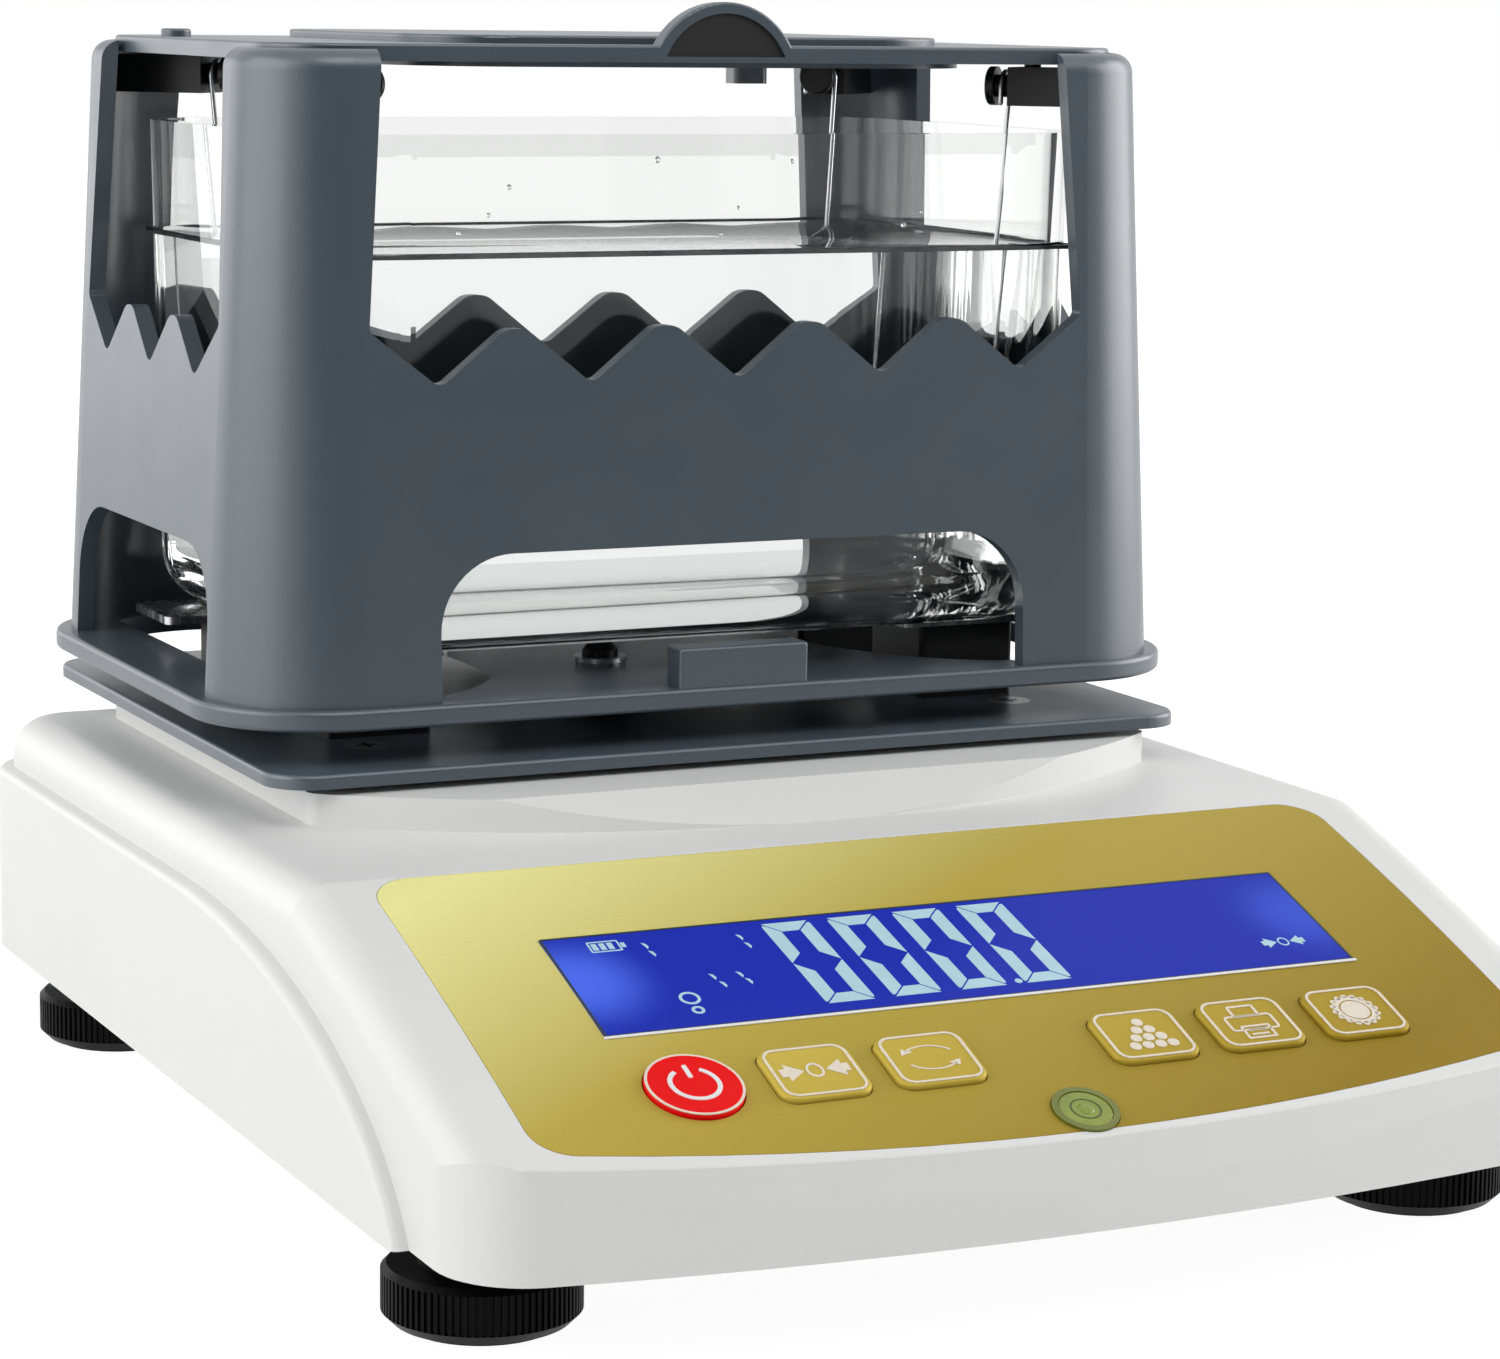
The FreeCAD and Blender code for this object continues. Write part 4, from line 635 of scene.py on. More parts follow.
def finishes():
    """Every material of the meter by name, made on first use."""
    tones = bpy.context.scene.meter_colours
    gold_light_to_shade = (tones.gold_left, tones.gold_middle, tones.gold_right)
    sheet_low, sheet_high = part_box("panel_overlay")
    sheet = (sheet_low.x - GOLD_SHADE_SLOPE * sheet_high.y, sheet_high.x - GOLD_SHADE_SLOPE * sheet_low.y)
    lamps = [panel_place(across, 0.001).translation for across in (-0.0635, 0.0640)]
    stud_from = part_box("base_tray")[0].z
    thread_pitch = 0.001
    fine, middling, coarse = 0.00003, 0.00004, 0.00006     # depths of a moulded grain
    recipes = {
        "moulded_white": (moulded_plastic, tones.cover, 0.38, fine, 0.012),
        "moulded_slate": (moulded_plastic, tones.slate, 0.34, coarse, 0.03, 0.95),
        "moulded_black": (moulded_plastic, tones.black, 0.40, middling, 0.2, 0.35),
        "tab_black": (moulded_plastic, shade(tones.black, 1.3), 0.55, fine, 0.1),
        "satin_gold": (satin_gold, gold_light_to_shade, 1.0, *sheet),
        # The keys carry the sheet's painted gradient of light and shade, 1.28 times lighter.
        "key_gold_satin": (satin_gold, gold_light_to_shade, 1.28, *sheet),
        "lit_display": (lit_display, tones.display, tones.display_glow, *lamps),
        "lit_digit": (glowing_mark, tones.digit, 0.25),
        "pale_print": (printed_mark, tones.mark),
        "white_print": (printed_mark, (0.85, 0.85, 0.85)),
        "dark_print": (printed_mark, (0.02, 0.03, 0.01)),
        "green_print": (printed_mark, (0.045, 0.075, 0.006)),
        "power_red": (moulded_plastic, tones.power, 0.34, 0.00002, 0.05, 0.12),
        "bright_steel": (worked_metal, (0.66, 0.66, 0.67), 0.24),
        "dull_steel": (worked_metal, (0.55, 0.55, 0.56), 0.34),
        "machined_alloy": (worked_metal, (0.70, 0.71, 0.73), 0.36, (0.06, 1.0, 1.0)),
        "turned_brass": (worked_metal, (0.72, 0.52, 0.22), 0.28),
        "soft_rubber": (moulded_plastic, (0.008, 0.008, 0.008), 0.72, 0.00008, 0.2, 0.2),
        "wheel_black": (threaded_black, tones.black, stud_from, thread_pitch),
        "clear_cast": (clear_wall, (0.885, 0.89, 0.885), 1.30, 0.003, 0.15),
        "clear_water": (clear_wall, (0.97, 0.98, 0.98), 1.333, 0.001, 0.3),
        # Dark line of the meniscus: painted shade.
        "water_edge": (painted_meniscus_shade, (0.035, 0.038, 0.042)),
        "lacquered_board": (circuit_board,),
        "battery_case": (moulded_plastic, (0.10, 0.10, 0.12), 0.5, middling),
        "plain_grey": (moulded_plastic, (0.22, 0.23, 0.25), 0.5, fine),
        "level_liquid": (level_liquid,),
        "level_body": (moulded_plastic, (0.16, 0.18, 0.022), 0.22, 0.00002, 0.25),
    }
    for name, (maker, *values) in recipes.items():
        if name not in bpy.data.materials:
            maker(Finish(name), *values)
    return {name: bpy.data.materials[name] for name in recipes}


FINISH_STARTS = {
    "moulded_white": ("base_cover",),
    "moulded_slate": ("stand_plate", "rack_hub", "rack_base", "rack_front_stop", "frame_shell",
                      "sample_tray"),
    "moulded_black": ("base_tray", "power_jack", "rack_screws", "support_block", "hook_arm"),
    "machined_alloy": ("load_cell", "load_spider"),
    "lacquered_board": ("key_board", "main_board"),
    "bright_steel": ("basket", "support_strip"),
    "dull_steel": ("serial_port", "stand_plate_screws", "load_cell_screws"),
    "satin_gold": ("panel_overlay",),
    "key_gold_satin": KEYS[1:],
    "power_red": KEYS[:1],
    "lit_display": ("lcd_window",),
    "plain_grey": ("lcd_module",),
    "battery_case": ("battery",),
    "level_body": ("level_housing",),
    "level_liquid": ("level_vial",),
    "turned_brass": ("foot_inserts",),
    "tab_black": ("tray_tab_inset",),
    "clear_cast": ("water_tank",),
    "soft_rubber": ("foot_pad",),
    "wheel_black": ("foot_wheel",),
}


def finish_of(node):
    """The finish whose entry fits the longest start of a solid's name, or else dull steel."""
    fits = [(len(start), finish) for finish, starts in FINISH_STARTS.items()
            for start in starts if node.startswith(start)]
    return max(fits, default=(0, "dull_steel"))[1]


class METER_OT_paint_solids(bpy.types.Operator):
    """Gives each solid of the frame its finish"""

    bl_idname = "meter.paint_solids"
    bl_label = "Paint the solids"

    def execute(self, context):
        ready = finishes()
        for name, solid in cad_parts.items():
            solid.data.materials.clear()
            solid.data.materials.append(ready[finish_of(name)])
        return {"FINISHED"}


# ------------------------ display
def nought_strokes(width, height, stroke, thickness):
    """The six lit strokes of a nought, in a display's usual layout."""
    gap = stroke * 0.05
    tall = height / 2 - gap
    strokes = []
    for side in (-1, 1):
        for half in (-1, 1):
            strokes.append(stroke_bar(tall - gap, stroke, thickness, -side * math.pi / 2,
                                      (side * (width - stroke) / 2, half * height / 4),
                                      soft_end=-side * half))
    for end in (-1, 1):
        strokes.append(stroke_bar(width - 4 * gap, stroke, thickness,
                                  0.0 if end > 0 else math.pi,
                                  (0.0, end * (height - stroke) / 2)))
    return strokes


def lean(piece, slant):
    """Leans a flat piece's top to the left."""
    for point in piece.data.vertices:
        point.co.x -= slant * point.co.y


class METER_OT_add_digits(bpy.types.Operator):
    """Adds the lit digits and the decimal point"""

    bl_idname = "meter.add_digits"
    bl_label = "Digits"

    def execute(self, context):
        sizes = context.scene.meter_display
        thickness = 0.00005
        point_radius, point_across, point_up = 0.00062, 0.0057, -0.01015
        figure = join(nought_strokes(sizes.digit_width, sizes.digit_height, sizes.stroke,
                                     thickness))
        lean(figure, sizes.slant)
        digits = []
        for i in range(4):
            across = sizes.first_digit + i * sizes.digit_pitch
            digits.append(copy_to(figure, panel_place(across, 0.0)
                                  @ move(y=sizes.digit_middle)))
        discard(figure)
        point = disc(point_radius, thickness)
        put(point, panel_place(point_across, 0.0) @ move(y=point_up))
        complete(join(digits + [point]), "display_digits", "base",
                 finishes()["lit_digit"])
        return {"FINISHED"}


def nought(width, height, line, thickness, middle):
    """Upright oval line."""
    ring = ring_line(height / 2 - line / 2, line, thickness, 32)
    ring.scale = (width / height, 1.0, 1.0)
    put(ring, Matrix.Identity(4))
    put(ring, move(*middle))
    return ring


def arrow_pair(half_span, head, thickness, middle):
    """Two short arrows that point at each other, with a nought between them."""
    pieces = []
    tip = half_span * 0.32
    shaft = half_span - tip - head
    for side in (-1, 1):
        pieces.append(triangle(head, head * 1.45, thickness, math.pi if side > 0 else 0.0,
                               (middle[0] + side * tip, middle[1])))
        pieces.append(plate(shaft, head * 0.66, thickness,
                            middle=(middle[0] + side * (half_span - shaft / 2), middle[1])))
    pieces.append(nought(half_span * 0.50, head * 1.25, head * 0.16, thickness, middle))
    return pieces


class METER_OT_add_display_marks(bpy.types.Operator):
    """Adds the display's small marks: battery, steady ring, zero mark and half-lit strokes"""

    bl_idname = "meter.add_display_marks"
    bl_label = "Display marks"

    def execute(self, context):
        thin = 0.00004
        battery_up, ring_across, ring_line_width = 0.0102, -0.0482, 0.0005
        pieces = [border(0.0052, 0.0030, 0.0003, thin, 0.0003, (-0.0556, battery_up)),
                  plate(0.0007, 0.0013, thin, middle=(-0.0525, battery_up))]
        for i in range(3):
            pieces.append(plate(0.0009, 0.0018, thin,
                                middle=(-0.0572 + i * 0.0013, battery_up)))
        for radius, up, steps in ((0.00145, -0.0058, 24), (0.0008, -0.0091, 20)):
            pieces.append(ring_line(radius, ring_line_width, thin, steps, (ring_across, up)))
        pieces += arrow_pair(0.0039, 0.0019, thin, (0.0558, -0.0068))
        strokes = ((-0.0491, 0.0094), (-0.0488, 0.0071), (-0.0332, 0.0093), (-0.0328, 0.0069),
                   (-0.0421, -0.0007), (-0.0413, -0.0030), (-0.0376, -0.0008), (-0.0369, -0.0028))
        for middle in strokes:
            pieces.append(stroke_bar(0.0019, 0.0005, thin, math.radians(106), middle))
        marks = join(pieces)
        put(marks, panel_place(0.0, 0.0))
        complete(marks, "display_marks", "base", finishes()["lit_digit"])
        return {"FINISHED"}


class METER_OT_add_display_lip(bpy.types.Operator):
    """Adds the pale lip of the window's lower edge and the thin dark line round the rest"""

    bl_idname = "meter.add_display_lip"
    bl_label = "Display lip"

    def execute(self, context):
        low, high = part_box("lcd_window")
        width = high.x - low.x
        height = (high.y - low.y) / math.cos(context.scene.meter_panel.tilt) - 0.0005
        ready = finishes()
        lip_width, sunk = 0.0006, 0.0001
        lip = plate(width + lip_width, lip_width, 0.00022, middle=(0.0, -height / 2 - 0.0002))
        round_over(lip, 0.00008)
        put(lip, panel_place(0.0, 0.0, -sunk))
        complete(lip, "display_lip", "base", ready["white_print"])
        rim = border(width, height, 0.00035, 0.00006, 0.0004)
        put(rim, panel_place(0.0, 0.0))
        complete(rim, "display_rim", "base", ready["dark_print"])
        return {"FINISHED"}


# ------------------------ keys
def zero_mark(thickness):
    return arrow_pair(0.0056, 0.0028, thickness, (0.0, 0.0))


def mode_mark(thickness):
    """Two arrows that chase each other round a flat oval."""
    radius, head = 0.0044, 0.0021
    ahead = 0.0016      # of an arrow's tip before its line's end
    sweep = math.radians(112)
    pieces = []
    for half in (0, 1):
        start = math.radians(28) + half * math.pi
        pieces.append(arc_line(radius, 0.0004, thickness, start, sweep))
        end = start + sweep
        tip = (radius * math.cos(end) - ahead * math.sin(end),
               radius * math.sin(end) + ahead * math.cos(end))
        pieces.append(triangle(head, head, thickness, end + math.pi / 2, tip))
    flat = join(pieces)
    flat.scale = (1.0, 0.66, 1.0)
    put(flat, Matrix.Identity(4))
    return [flat]


def pile_mark(thickness):
    """Ten dots in a pile, four of them in the bottom row."""
    radius, pitch, drop, top = 0.00094, 0.0022, 0.00193, 0.0029
    pieces = []
    for row in range(4):
        for column in range(row + 1):
            across = 0.0003 + (column - row / 2) * pitch
            pieces.append(disc(radius, thickness, (across, top - row * drop), 20))
    return pieces


def printer_mark(thickness):
    """A printer with its paper above and its printed sheet below."""
    line = 0.00042
    return [border(0.0086, 0.0040, line, thickness, 0.0008, (0.0, -0.0002)),
            border(0.0048, 0.0030, line, thickness, 0.0004, (0.0, 0.0028)),
            border(0.0052, 0.0034, line, thickness, 0.0003, (0.0, -0.0026)),
            plate(0.0030, line, thickness, middle=(0.0, -0.0021)),
            plate(0.0030, line, thickness, middle=(0.0, -0.0032))]


def gear_mark(thickness):
    """Wheel with round teeth and a groove round its hub."""
    teeth, tooth_ring, tooth_radius = 16, 0.00362, 0.00050
    pieces = [ring_line(0.00315, 0.0010, thickness, 48), disc(0.00236, thickness, sides=48)]
    for i in range(teeth):
        angle = FULL_TURN * i / teeth
        pieces.append(disc(tooth_radius, thickness, (tooth_ring * math.cos(angle),
                                                     tooth_ring * math.sin(angle)), 16))
    return pieces


def power_mark(thickness):
    """An open ring with a bar in its gap."""
    line = 0.00072
    return [arc_line(0.0037, line, thickness, math.radians(122), math.radians(296), steps=36),
            plate(line, 0.0031, thickness, corner=0.0002, middle=(0.0, 0.0030))]


KEY_MARKS = dict(zip(KEYS, (power_mark, zero_mark, mode_mark, pile_mark, printer_mark,
                            gear_mark)))


class METER_OT_add_key_marks(bpy.types.Operator):
    """Adds each key's raised line and its pictogram"""

    bl_idname = "meter.add_key_marks"
    bl_label = "Key marks"

    def execute(self, context):
        panel = context.scene.meter_panel
        ready = finishes()
        for key in KEYS:
            across = middle_of(key).x
            red = key == "power_key"
            place = panel_place(across, panel.key_row, panel.key_crown)
            mark = join(KEY_MARKS[key](panel.mark_height))
            put(mark, place)
            complete(mark, key + "_mark", key,
                     ready["white_print" if red else "pale_print"])
            if red:
                line = ring_line(0.00715, 0.00056, 0.00014, 64)
                place = panel_place(across, panel.key_row, panel.key_crown - LINE_HEIGHT)
            else:
                line = border(0.0136, 0.0116, 0.00042, LINE_HEIGHT, 0.0022)
            put(line, place)
            complete(line, key + "_line", key,
                     ready["pale_print"])
        return {"FINISHED"}


# ------------------------ level
class METER_OT_add_level(bpy.types.Operator):
    """Adds the round level's ring and its bubble"""

    bl_idname = "meter.add_level"
    bl_label = "Round level"

    def execute(self, context):
        panel = context.scene.meter_panel
        ready = finishes()
        ring = ring_line(0.0023, 0.00026, 0.00004, 56)
        put(ring, panel_place(0.0, panel.level_row, 0.0003))
        complete(ring, "level_ring", "base", ready["green_print"])
        start_clean()
        bpy.ops.mesh.primitive_uv_sphere_add(segments=32, ring_count=16, radius=0.00125,
                                             location=(0, 0, 0))
        bubble = bpy.context.object
        bubble.scale = (1.0, 1.0, 0.16)
        apply_place()
        put(bubble, panel_place(0.0, panel.level_row, 0.00032))
        smooth(bubble)
        complete(bubble, "level_bubble", "base", ready["level_liquid"])
        return {"FINISHED"}


# ------------------------ feet
class METER_OT_add_thumb_wheels(bpy.types.Operator):
    """Models one ribbed thumb wheel with its stud, and copies it to the four feet"""

    bl_idname = "meter.add_thumb_wheels"
    bl_label = "Thumb wheels"

    def execute(self, context):
        sizes = context.scene.meter_feet
        low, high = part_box("foot_wheel_front_left")
        radius = (high.x - low.x) / 2
        bottom, stud_top = low.z, high.z
        top, hub_top = 0.0094, 0.0153
        lower_bevel, upper_bevel, small_bevel = 0.0016, 0.0009, 0.0006
        hub, stud, recess = 0.0075, 0.00295, 0.0123         # radii
        slope_width, slope_rise, recess_depth = 0.0020, 0.0015, 0.00085
        groove_side = 0.00007
        inset = bpy.ops.mesh.inset
        sides = 2 * sizes.ribs
        depth = top - upper_bevel - bottom - lower_bevel
        start_clean()
        bpy.ops.mesh.primitive_cylinder_add(vertices=sides, radius=radius, depth=depth,
                                            location=(0, 0, bottom + lower_bevel + depth / 2))
        wheel = bpy.context.object
        apply_place()

        def in_groove(centre, normal):
            side = int((math.atan2(normal.y, normal.x) % FULL_TURN) / (FULL_TURN / sides))
            return abs(normal.z) < 0.5 and side % 2 == 0

        pick(wheel, faces=in_groove)
        inset(thickness=groove_side, depth=-sizes.rib_depth, use_individual=True)
        leave_edit()
        pick(wheel, faces=lambda c, n: c.z > top - upper_bevel - NEAR)
        inset(thickness=upper_bevel, depth=upper_bevel)
        inset(thickness=radius - upper_bevel - hub - slope_width)
        inset(thickness=slope_width, depth=slope_rise)
        raise_faces(hub_top - top - slope_rise - small_bevel)
        inset(thickness=small_bevel, depth=small_bevel)
        inset(thickness=hub - small_bevel - stud)
        raise_faces(stud_top - hub_top - small_bevel)
        inset(thickness=small_bevel, depth=small_bevel)
        leave_edit()
        pick(wheel, faces=lambda c, n: c.z < bottom + lower_bevel + NEAR)
        inset(thickness=lower_bevel, depth=lower_bevel)
        inset(thickness=radius - lower_bevel - recess)
        raise_faces(recess_depth)
        leave_edit()
        smooth(wheel, 30)
        material = finishes()["wheel_black"]
        for corner in CORNERS:
            centre = middle_of("foot_wheel_" + corner)
            twin = copy_to(wheel, move(centre.x, centre.y))
            complete(twin, "thumb_wheel_" + corner, "foot_wheel_" + corner,
                     material)
            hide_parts("foot_wheel_" + corner)
        discard(wheel)
        return {"FINISHED"}


# ------------------------ basket
class METER_OT_add_basket_wires(bpy.types.Operator):
    """Draws the basket's wires at their real thickness along the solids' bends"""

    bl_idname = "meter.add_basket_wires"
    bl_label = "Basket wires"

    def execute(self, context):
        thinner = context.scene.meter_basket.thinner
        wire_metal = finishes()["bright_steel"]
        for side in ("left", "right"):
            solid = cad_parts["basket_hanger_" + side]
            wire = copy_to(solid, move(z=-thinner))
            pick_all_faces(wire)
            bpy.ops.mesh.remove_doubles(threshold=WELD)
            bpy.ops.transform.shrink_fatten(value=-thinner, use_even_offset=True)
            leave_edit()
            smooth(wire, 50)
            complete(wire, "basket_wire_" + side, "basket", wire_metal)
            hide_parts("basket_hanger_" + side)
        return {"FINISHED"}


# ------------------------ water
def rounded_tub(low, high, taper, corner, floor_radius):
    """Closed box, narrower below, with a round floor edge if asked.

    Its upright corners are rounded only where the box is taller than TALL.
    """
    middle, span = (low + high) / 2, high - low
    start_clean()
    bpy.ops.mesh.primitive_cube_add(size=1.0, location=middle)
    tub = bpy.context.object
    tub.scale = span
    apply_place()
    pick(tub, edges=lambda a, b: abs(a.z - b.z) > TALL)
    bpy.ops.mesh.bevel(offset=corner, segments=10, affect="EDGES")
    leave_edit()
    pick(tub, points=lambda p: p.z < middle.z)
    bpy.ops.transform.resize(value=(1 - 2 * taper / span.x, 1 - 2 * taper / span.y, 1.0),
                             center_override=(middle.x, middle.y, low.z))
    leave_edit()
    if floor_radius:
        pick(tub, edges=lambda a, b: max(a.z, b.z) < low.z + NEAR)
        bpy.ops.mesh.bevel(offset=floor_radius, segments=12, affect="EDGES")
        leave_edit()
    return tub


class METER_OT_add_water(bpy.types.Operator):
    """Fills the tank and puts a few drops on its wall"""

    bl_idname = "meter.add_water"
    bl_label = "Water"

    def execute(self, context):
        sizes = context.scene.meter_water
        ready = finishes()
        tank_low, tank_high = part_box("water_tank")
        wall, into_wall, taper = 0.0030, 0.00012, 0.0015
        corner, floor_radius, edge_width = 0.0165, 0.0068, 0.0004
        tank_height = tank_high.z - tank_low.z
        share = (sizes.level - tank_low.z) / tank_height
        inset = wall - into_wall + taper * (1 - share)
        low = Vector((tank_low.x + inset, tank_low.y + inset, tank_low.z + wall - into_wall))
        high = Vector((tank_high.x - inset, tank_high.y - inset, sizes.level + sizes.meniscus))
        water = rounded_tub(low, high, taper * share, corner, floor_radius)
        pick(water, faces=lambda c, n: n.z > 0.9 and c.z > sizes.level)
        bpy.ops.mesh.inset(thickness=edge_width, depth=-sizes.meniscus * 0.6)
        bpy.ops.mesh.inset(thickness=2 * edge_width, depth=-sizes.meniscus * 0.4)
        leave_edit()
        smooth(water, 40)
        complete(water, "tank_water", "base", ready["clear_water"])
        # A dark ring along the water's edge: painted shade for the dark line of the meniscus.
        edge_low = Vector((low.x, low.y, sizes.level - 0.0001))
        edge_high = Vector((high.x, high.y, sizes.level + sizes.meniscus * 0.7))
        edge = rounded_tub(edge_low, edge_high, 0.0, corner, 0.0)
        pick(edge, faces=lambda c, n: abs(n.z) > 0.9)
        bpy.ops.mesh.inset(thickness=edge_width)
        bpy.ops.mesh.bridge_edge_loops()
        leave_edit()
        smooth(edge, 40)
        complete(edge, "water_edge", "base", ready["water_edge"])
        chance = random.Random(7)
        drops = []
        for _ in range(sizes.droplets):
            size = chance.uniform(0.0003, 0.0007)
            across = chance.uniform(-0.055, 0.055)
            up = chance.uniform(sizes.level + 0.003, tank_high.z - 0.004)
            front = tank_low.y + wall + taper * (tank_high.z - up) / tank_height
            start_clean()
            bpy.ops.mesh.primitive_ico_sphere_add(subdivisions=2, radius=size,
                                                  location=(across, front, up))
            drop = bpy.context.object
            drop.scale = (1.0, 0.45, 1.15)
            apply_place()
            drops.append(drop)
        if drops:
            spray = join(drops)
            smooth(spray, 80)
            complete(spray, "tank_drops", "base", ready["clear_water"])
        return {"FINISHED"}


# ------------------------ fixings and sockets
def drive_shade_at(place):
    """Dark flat cross on a screw head: painted shade standing in for its drive recess."""
    radius, depth = 0.0018, 0.00004
    cross = join([plate(2 * radius, radius * 0.42, depth),
                  plate(radius * 0.42, 2 * radius, depth)])
    put(cross, place)
    return cross


class METER_OT_add_screw_drives(bpy.types.Operator):
    """Paints the shade of the visible screws' drive recesses as thin dark crosses"""

    bl_idname = "meter.add_screw_drives"
    bl_label = "Screw drives"

    def execute(self, context):
        dark = finishes()["moulded_black"]
        sunk = 0.00002
        low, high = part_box("stand_plate_screws")
        inset = 0.004
        # Dark crosses of painted shade where the drive recesses are.
        crosses = [drive_shade_at(move(x, y, high.z - sunk))
                   for x in (low.x + inset, high.x - inset)
                   for y in (low.y + inset, high.y - inset)]
        complete(join(crosses), "stand_plate_screw_drives", "base", dark)
        low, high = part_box("base_screws")
        head, rear_x = 0.00285, 0.028
        crosses = [drive_shade_at(move(side * x, y, low.z + sunk) @ turn(math.pi, "X"))
                   for x, y in ((high.x - head, low.y + head), (rear_x, high.y - head))
                   for side in (-1, 1)]
        complete(join(crosses), "base_screw_drives", "base", dark)
        return {"FINISHED"}


class METER_OT_add_sockets(bpy.types.Operator):
    """Adds the serial port's dark insert, and dark discs of painted shade where its contact holes
    are
    """

    bl_idname = "meter.add_sockets"
    bl_label = "Rear sockets"

    def execute(self, context):
        ready = finishes()
        centre = middle_of("serial_port")
        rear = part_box("serial_port")[1].y
        face = move(centre.x, rear, centre.z) @ turn(math.radians(-90), "X")
        insert_depth, pitch, row_up = 0.00004, 0.00277, 0.00142
        insert = plate(0.0152, 0.0062, insert_depth, corner=0.0012)
        put(insert, face)
        complete(insert, "serial_insert", "base", ready["battery_case"])
        # Dark discs: painted shade standing in for the contact holes.
        holes = []
        for row, count in ((1, 5), (-1, 4)):
            for i in range(count):
                holes.append(disc(0.00055, 0.00003,
                                  ((i - (count - 1) / 2) * pitch, row * row_up), 16))
        hole_shade = join(holes)
        put(hole_shade, face @ move(z=insert_depth))
        complete(hole_shade, "serial_contacts", "base", ready["moulded_black"])
        return {"FINISHED"}


# ------------------------ studio
def area_light(name, place, size, power):
    """Soft rectangular lamp that shines at the meter's middle."""
    target = Vector((0.0, 0.0, 0.09))
    light = bpy.data.lights.new(name, "AREA")
    light.shape = "RECTANGLE"
    light.size, light.size_y = size
    light.energy = power
    lamp = bpy.data.objects.new(name, light)
    bpy.context.scene.collection.objects.link(lamp)
    lamp.location = place
    lamp.rotation_euler = (target - Vector(place)).to_track_quat("-Z", "Y").to_euler()


def seen_or_lit(tree):
    """One for rays that see the background, nought for rays that only light."""
    paths = tree.nodes.new("ShaderNodeLightPath")
    total = paths.outputs["Is Camera Ray"]
    for output in ("Is Glossy Ray", "Is Transmission Ray"):
        total = math_node(tree, "MAXIMUM", total, paths.outputs[output])
    return total


def choose_shader(tree, share, first, second, output):
    """Shows the second shader by a share, and the first by the rest."""
    choose = tree.nodes.new("ShaderNodeMixShader")
    tree.links.new(share, choose.inputs["Fac"])
    tree.links.new(first, choose.inputs[1])
    tree.links.new(second, choose.inputs[2])
    tree.links.new(choose.outputs["Shader"], tree.nodes[output].inputs["Surface"])


def studio_world(light_strength):
    """White seen from the camera, and a weaker white that lights."""
    world = bpy.data.worlds.new("studio_world")
    world.use_nodes = True
    bpy.context.scene.world = world
    tree = world.node_tree
    lighting, backdrop = tree.nodes["Background"], tree.nodes.new("ShaderNodeBackground")
    for node, strength in ((lighting, light_strength), (backdrop, 1.0)):
        node.inputs["Color"].default_value = WHITE
        node.inputs["Strength"].default_value = strength
    choose_shader(tree, seen_or_lit(tree), lighting.outputs["Background"],
                  backdrop.outputs["Background"], "World Output")


def matt_material(name, grey):
    """Plain matt grey of a stage piece, and its shader."""
    material = bpy.data.materials.new(name)
    material.use_nodes = True
    shader = material.node_tree.nodes["Principled BSDF"]
    shader.inputs["Base Color"].default_value = (grey, grey, grey, 1.0)
    shader.inputs["Roughness"].default_value = 0.9
    return material, shader


def studio_floor(size, whiteness, reach):
    """Pale floor that keeps a soft shadow near the object and is plain white further out."""
    floor = square(size)
    floor.name = "studio_floor"
    material, shader = matt_material("studio_floor", 0.86)
    shader.inputs["Specular IOR Level"].default_value = 0.1
    tree = material.node_tree
    white = tree.nodes.new("ShaderNodeEmission")
    white.inputs["Color"].default_value = WHITE
    white.inputs["Strength"].default_value = 1.2
    coordinates = tree.nodes.new("ShaderNodeTexCoord")
    distance = tree.nodes.new("ShaderNodeVectorMath")
    distance.operation = "LENGTH"
    tree.links.new(coordinates.outputs["Object"], distance.inputs[0])
    fade = map_range(tree, distance.outputs["Value"], reach * 0.4, reach, whiteness, 1.0,
                     "SMOOTHSTEP")
    choose_shader(tree, math_node(tree, "MULTIPLY", seen_or_lit(tree), fade),
                  shader.outputs["BSDF"], white.outputs["Emission"], "Material Output")
    floor.data.materials.append(material)


def dark_card():
    """Dark card before the object, upright and along the floor, seen only in reflections."""
    card = square()
    card.name = "studio_card"
    card.scale = (3.4, 2.0, 1.0)
    card.rotation_euler = (math.radians(-90), 0.0, 0.0)
    card.location = (0.0, -1.9, 1.002)
    apply_place()
    pick(card, edges=lambda a, b: max(a.z, b.z) < 0.01)
    bpy.ops.mesh.extrude_region_move(TRANSFORM_OT_translate={"value": (0, 1.55, 0)})
    leave_edit()
    card.data.materials.append(matt_material("studio_card", 0.03)[0])
    card.visible_camera = False
    card.visible_diffuse = False
    card.visible_transmission = False
    card.visible_shadow = False


def studio_camera():
    """Camera level with the tray, looking a little down at the display from the left."""
    place = Vector((-0.297404, -0.624453, 0.192889))
    yaw, pitch, roll = 0.446, 0.165, 0.013
    view_width, focal = 1500.0, 4091.765
    forward = Vector((math.sin(yaw) * math.cos(pitch), math.cos(yaw) * math.cos(pitch),
                      -math.sin(pitch)))
    level = Vector((math.cos(yaw), -math.sin(yaw), 0.0))
    above = level.cross(forward)
    right = math.cos(roll) * level + math.sin(roll) * above
    up = -math.sin(roll) * level + math.cos(roll) * above
    camera = bpy.data.cameras.new("studio_camera")
    camera.sensor_fit = "HORIZONTAL"
    camera.sensor_width = 36.0
    camera.lens = camera.sensor_width * focal / view_width
    camera.clip_start = 0.01
    stand = bpy.data.objects.new("studio_camera", camera)
    bpy.context.scene.collection.objects.link(stand)
    facing = Matrix((right, up, -forward)).transposed()
    stand.matrix_world = Matrix.Translation(place) @ facing.to_4x4()
    bpy.context.scene.camera = stand


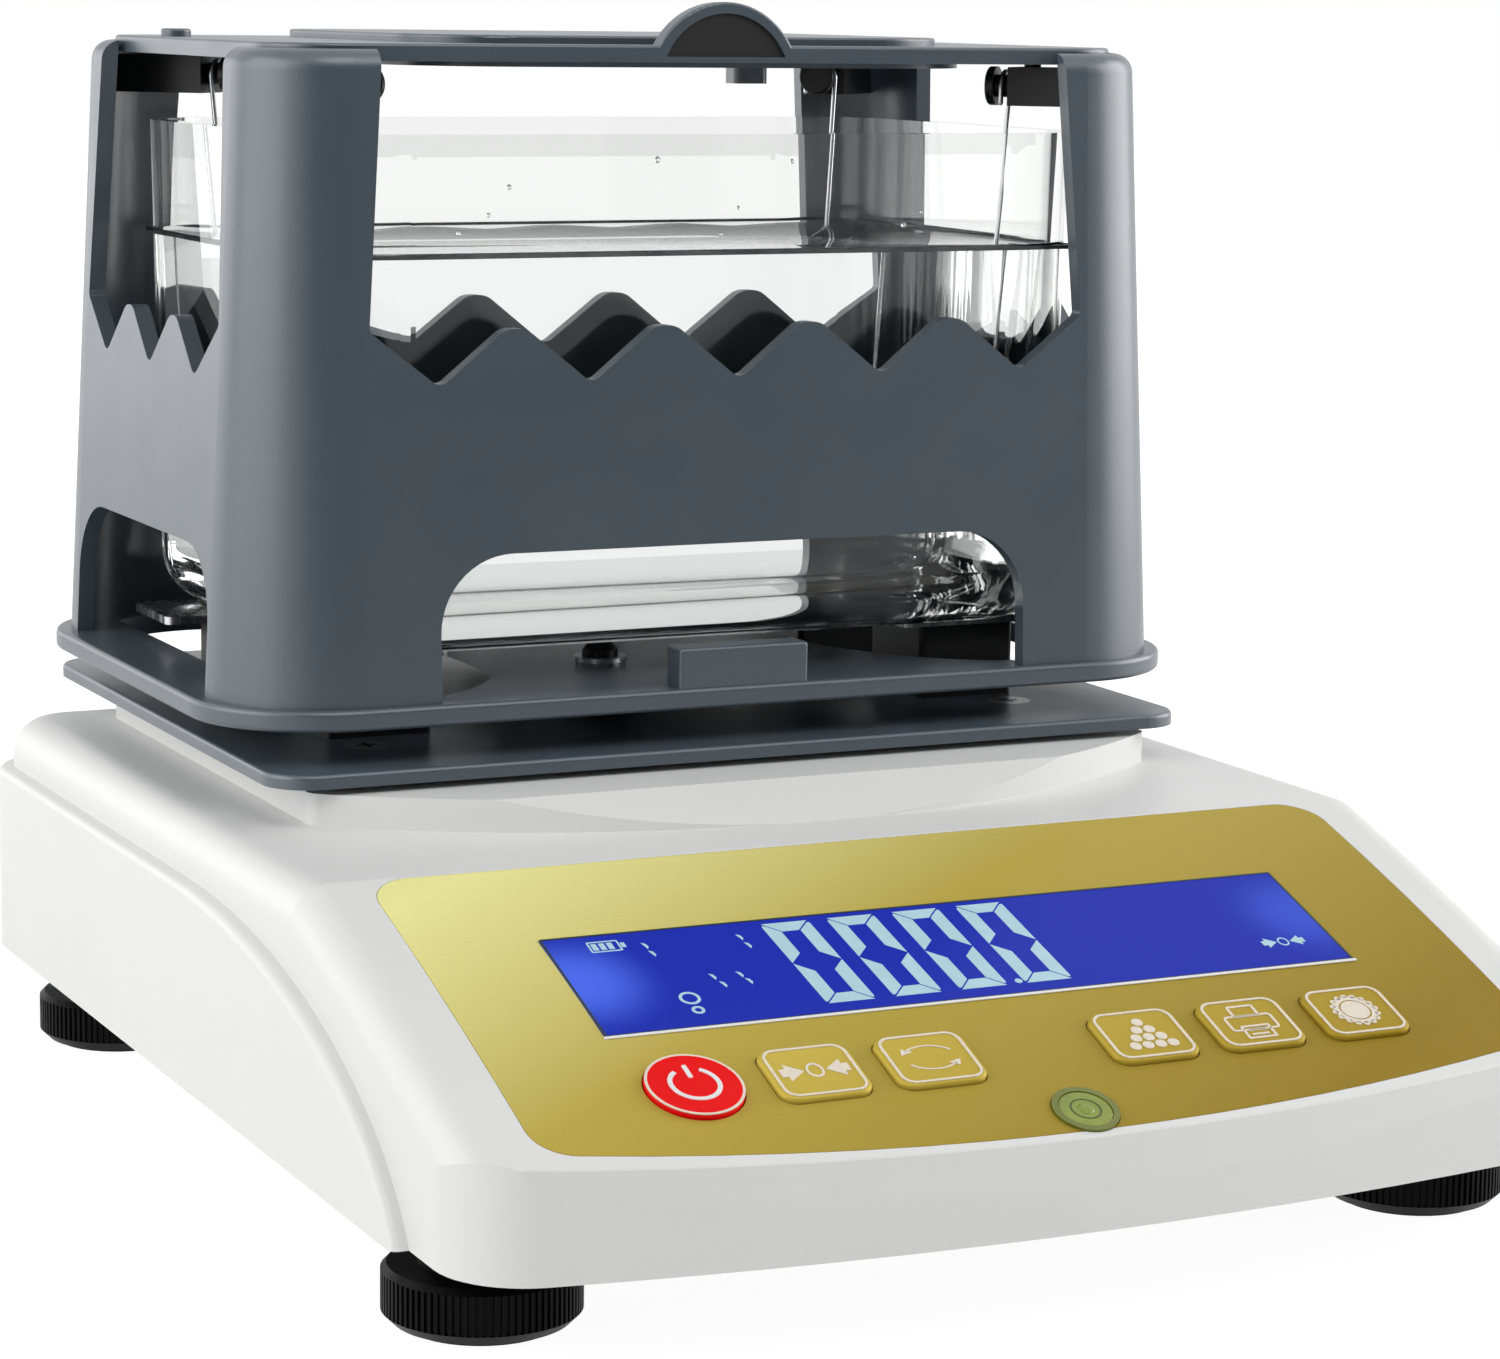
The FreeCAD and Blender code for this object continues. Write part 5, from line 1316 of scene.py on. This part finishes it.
class METER_OT_set_stage(bpy.types.Operator):
    """Sets the floor, the lamps, the world and the camera"""

    bl_idname = "meter.set_stage"
    bl_label = "Studio"

    def execute(self, context):
        studio_world(0.22)
        studio_floor(8.0, 0.8, 0.45)
        dark_card()
        area_light("left_softbox", (-1.5, 0.1, 0.75), (1.8, 1.5), 19.0)
        area_light("rear_left_softbox", (-0.8, 1.5, 0.32), (1.2, 0.6), 3.0)
        area_light("front_top_softbox", (0.1, -1.0, 1.5), (1.2, 1.0), 9.0)
        area_light("right_softbox", (1.6, -0.2, 0.6), (1.5, 1.3), 23.5)
        studio_camera()
        context.scene.view_settings.view_transform = "Standard"
        return {"FINISHED"}


# ------------------------ panel, registering and running
OPERATORS = (METER_OT_paint_solids, METER_OT_add_digits, METER_OT_add_display_marks,
             METER_OT_add_display_lip, METER_OT_add_key_marks, METER_OT_add_level,
             METER_OT_add_thumb_wheels, METER_OT_add_basket_wires, METER_OT_add_water,
             METER_OT_add_screw_drives, METER_OT_add_sockets, METER_OT_set_stage)


class METER_PT_sidebar(bpy.types.Panel):
    """Buttons and sizes of the density meter"""

    bl_idname = "METER_PT_sidebar"
    bl_label = "Density Meter"
    bl_space_type = "VIEW_3D"
    bl_region_type = "UI"
    bl_category = "Density Meter"

    def draw(self, context):
        layout = self.layout
        for name in SETTINGS:
            group = getattr(context.scene, name)
            box = layout.box()
            for key in group.__annotations__:
                box.prop(group, key)
        for operator in OPERATORS:
            layout.operator(operator.bl_idname)


KINDS = (*SETTINGS.values(), *OPERATORS, METER_PT_sidebar)


def register():
    for kind in KINDS:
        bpy.utils.register_class(kind)
    for name, kind in SETTINGS.items():
        setattr(bpy.types.Scene, name, bpy.props.PointerProperty(type=kind))


def unregister():
    for name in SETTINGS:
        delattr(bpy.types.Scene, name)
    for kind in reversed(KINDS):
        bpy.utils.unregister_class(kind)


def main():
    register()
    for operator in OPERATORS:
        family, action = operator.bl_idname.split(".")
        getattr(getattr(bpy.ops, family), action)()
    start_clean()


if __name__ == "__main__":
    main()
